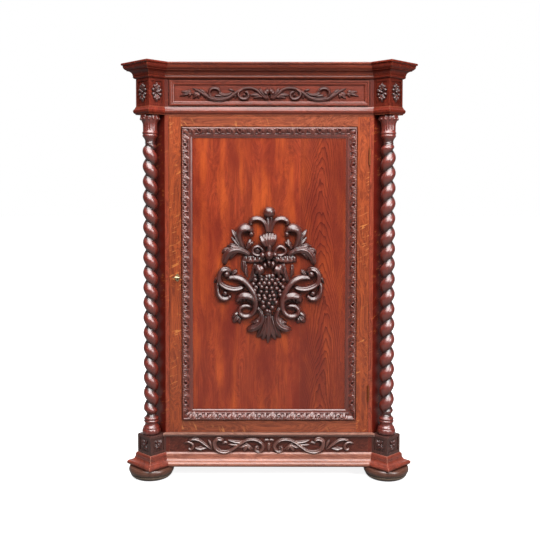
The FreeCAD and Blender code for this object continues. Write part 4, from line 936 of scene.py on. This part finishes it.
def columns():
    """Turned columns: a base, a shaft twisted like a rope, and a reeded capital."""
    low, high = column_foot + 74, column_top - 105          # ends of the rope
    lead = (high - low) / 18                                # height of one of its turns
    end, hollow, crest = 17.5, 15.8, 28.5                   # its radii

    def skin(angle, z, r):
        """Gadroons on the base, rope on the shaft, reeds and scallops on the capital."""
        if z < low:
            up = z - column_foot
            return r - gouged(angle, 12, 2.6, 0.6) * max(0.0, min(1.0, up / 4, (20 - up) / 4)), angle
        if z > high:
            down = column_top - z
            if down < 19:
                return r - gouged(angle, 12, 2.4, 0.5), angle
            fade = max(0.0, min(1.0, (down - 19) / 5, (60 - down) / 3))
            return r + (0.6 - gouged(angle, 18, 2.6, 0.6)) * fade, angle
        ease = smoothstep(min(z - low, high - z) / (0.35 * lead))
        rope = end + (hollow - end) * ease + (crest - hollow) * ease * cos(angle / 2)
        return rope, angle - 2 * pi * (z - low) / lead

    outline = column_outline(low, high)
    for side, word in ((1, "right"), (-1, "left")):
        bm = bmesh.new()
        place = Matrix.Translation((side * column_x, column_y, 0))
        turned = place @ IN_MM
        if side > 0:                            # the right rope winds the other way
            turned = place @ Matrix.Rotation(radians(150), 4, "Z") @ MIRROR @ IN_MM
        lathe(bm, outline, skin, turned)
        for i in range(12):                     # curled leaf tips under the lip
            turn = radians(30 * i)
            spot = Vector((33.2 * cos(turn), 33.2 * sin(turn), column_top - 15.5)) * MM
            bmesh.ops.create_uvsphere(bm, u_segments=12, v_segments=8, radius=5.4 * MM,
                                      matrix=place @ Matrix.Translation(spot))
        piece = finish_piece(bm, f"column_{word}", twist_oak, "carcass")
        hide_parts(f"twist_column_{word}")


columns()


# ---- floor, lamps, world and camera
def mirrored(tree, light):
    """1 for a ray that comes by a glossy or clear surface."""
    return reckon(tree, "MAXIMUM", light["Is Glossy Ray"], light["Is Transmission Ray"])


def lay_floor():
    """White floor that glows for the camera, and a tenth of that in what mirrors it."""
    bm = bmesh.new()
    bmesh.ops.create_circle(bm, cap_ends=True, segments=96, radius=30.0)
    mesh = mesh_of(bm, "floor")
    white, tree, shader = open_material("white floor")
    light = put(tree, "LightPath").outputs
    seen = times(tree, mirrored(tree, light), 0.1)
    seen = reckon(tree, "MAXIMUM", light["Is Camera Ray"], seen)
    feed(tree, shader, {"Base Color": mixed(tree, seen, tone("544e4a"), tone("e6e6e6")), "Roughness": 0.9,
                        "Specular IOR Level": 0.0, "Emission Color": (1, 1, 1, 1),
                        "Emission Strength": times(tree, seen, 0.86)})
    mesh.materials.append(white)
    floor = add_object("floor", mesh)


def light_room():
    """White all round for the camera; else dim, and lighter behind the cabinet and above it."""
    world = bpy.data.worlds.new("studio")
    bpy.context.scene.world = world
    world.use_nodes = True
    tree = world.node_tree
    light = put(tree, "LightPath").outputs
    away = put(tree, "SeparateXYZ", {0: put(tree, "TexCoord").outputs["Generated"]}).outputs
    behind = remap(tree, away[1], 0.35, 0.95, 0.02, 0.6)
    above = remap(tree, away[2], 0.3, 0.9, 0.0, 0.2)
    sheen = plus(tree, behind, above, True)                 # what the wax mirrors
    plain = remap(tree, away[1], 0.1, 0.7, 0.16, 0.8)       # what falls on the wood
    strength = times(tree, mirrored(tree, light), less(tree, sheen, plain))
    strength = reckon(tree, "MAXIMUM", plus(tree, strength, plain), light["Is Camera Ray"])
    feed(tree, tree.nodes["Background"], {"Color": (1, 1, 1, 1), "Strength": strength})


def lamp(name, place, aim, width, height, power):
    """A soft white rectangle of light, in metres and watts."""
    data = bpy.data.lights.new(name, "AREA")
    data.shape = "RECTANGLE"
    data.size, data.size_y, data.energy = width, height, power
    made = add_object(name, data)
    made.location = place
    made.rotation_euler = (Vector(aim) - Vector(place)).to_track_quat("-Z", "Y").to_euler()


def camera():
    """A view from in front, pitched a little down."""
    data = bpy.data.cameras.new("view")
    data.sensor_width, data.lens, data.clip_end = 36.0, 52.67, 100.0
    data.shift_x, data.shift_y = 0.0015, -0.0869
    distance, height, pitch, roll = 2.9783, 1.0929, 2.4, -0.08
    made = add_object("view", data)
    made.location = (0.0, front_y - distance, height)
    made.rotation_euler = (radians(90 - pitch), radians(roll), 0)
    bpy.context.scene.camera = made


lay_floor()
light_room()
lamp("window", (2.7, -3.1, 2.2), (0, -0.15, 0.75), 1.2, 1.6, 80)
lamp("front", (0.0, -3.4, 2.85), (0, 0, 0.8), 2.6, 0.9, 28)
lamp("ceiling", (0.0, -1.5, 3.4), (0, -0.7, 0.7), 3.0, 4.0, 250)
camera()
bpy.context.scene.view_settings.view_transform = "Standard"
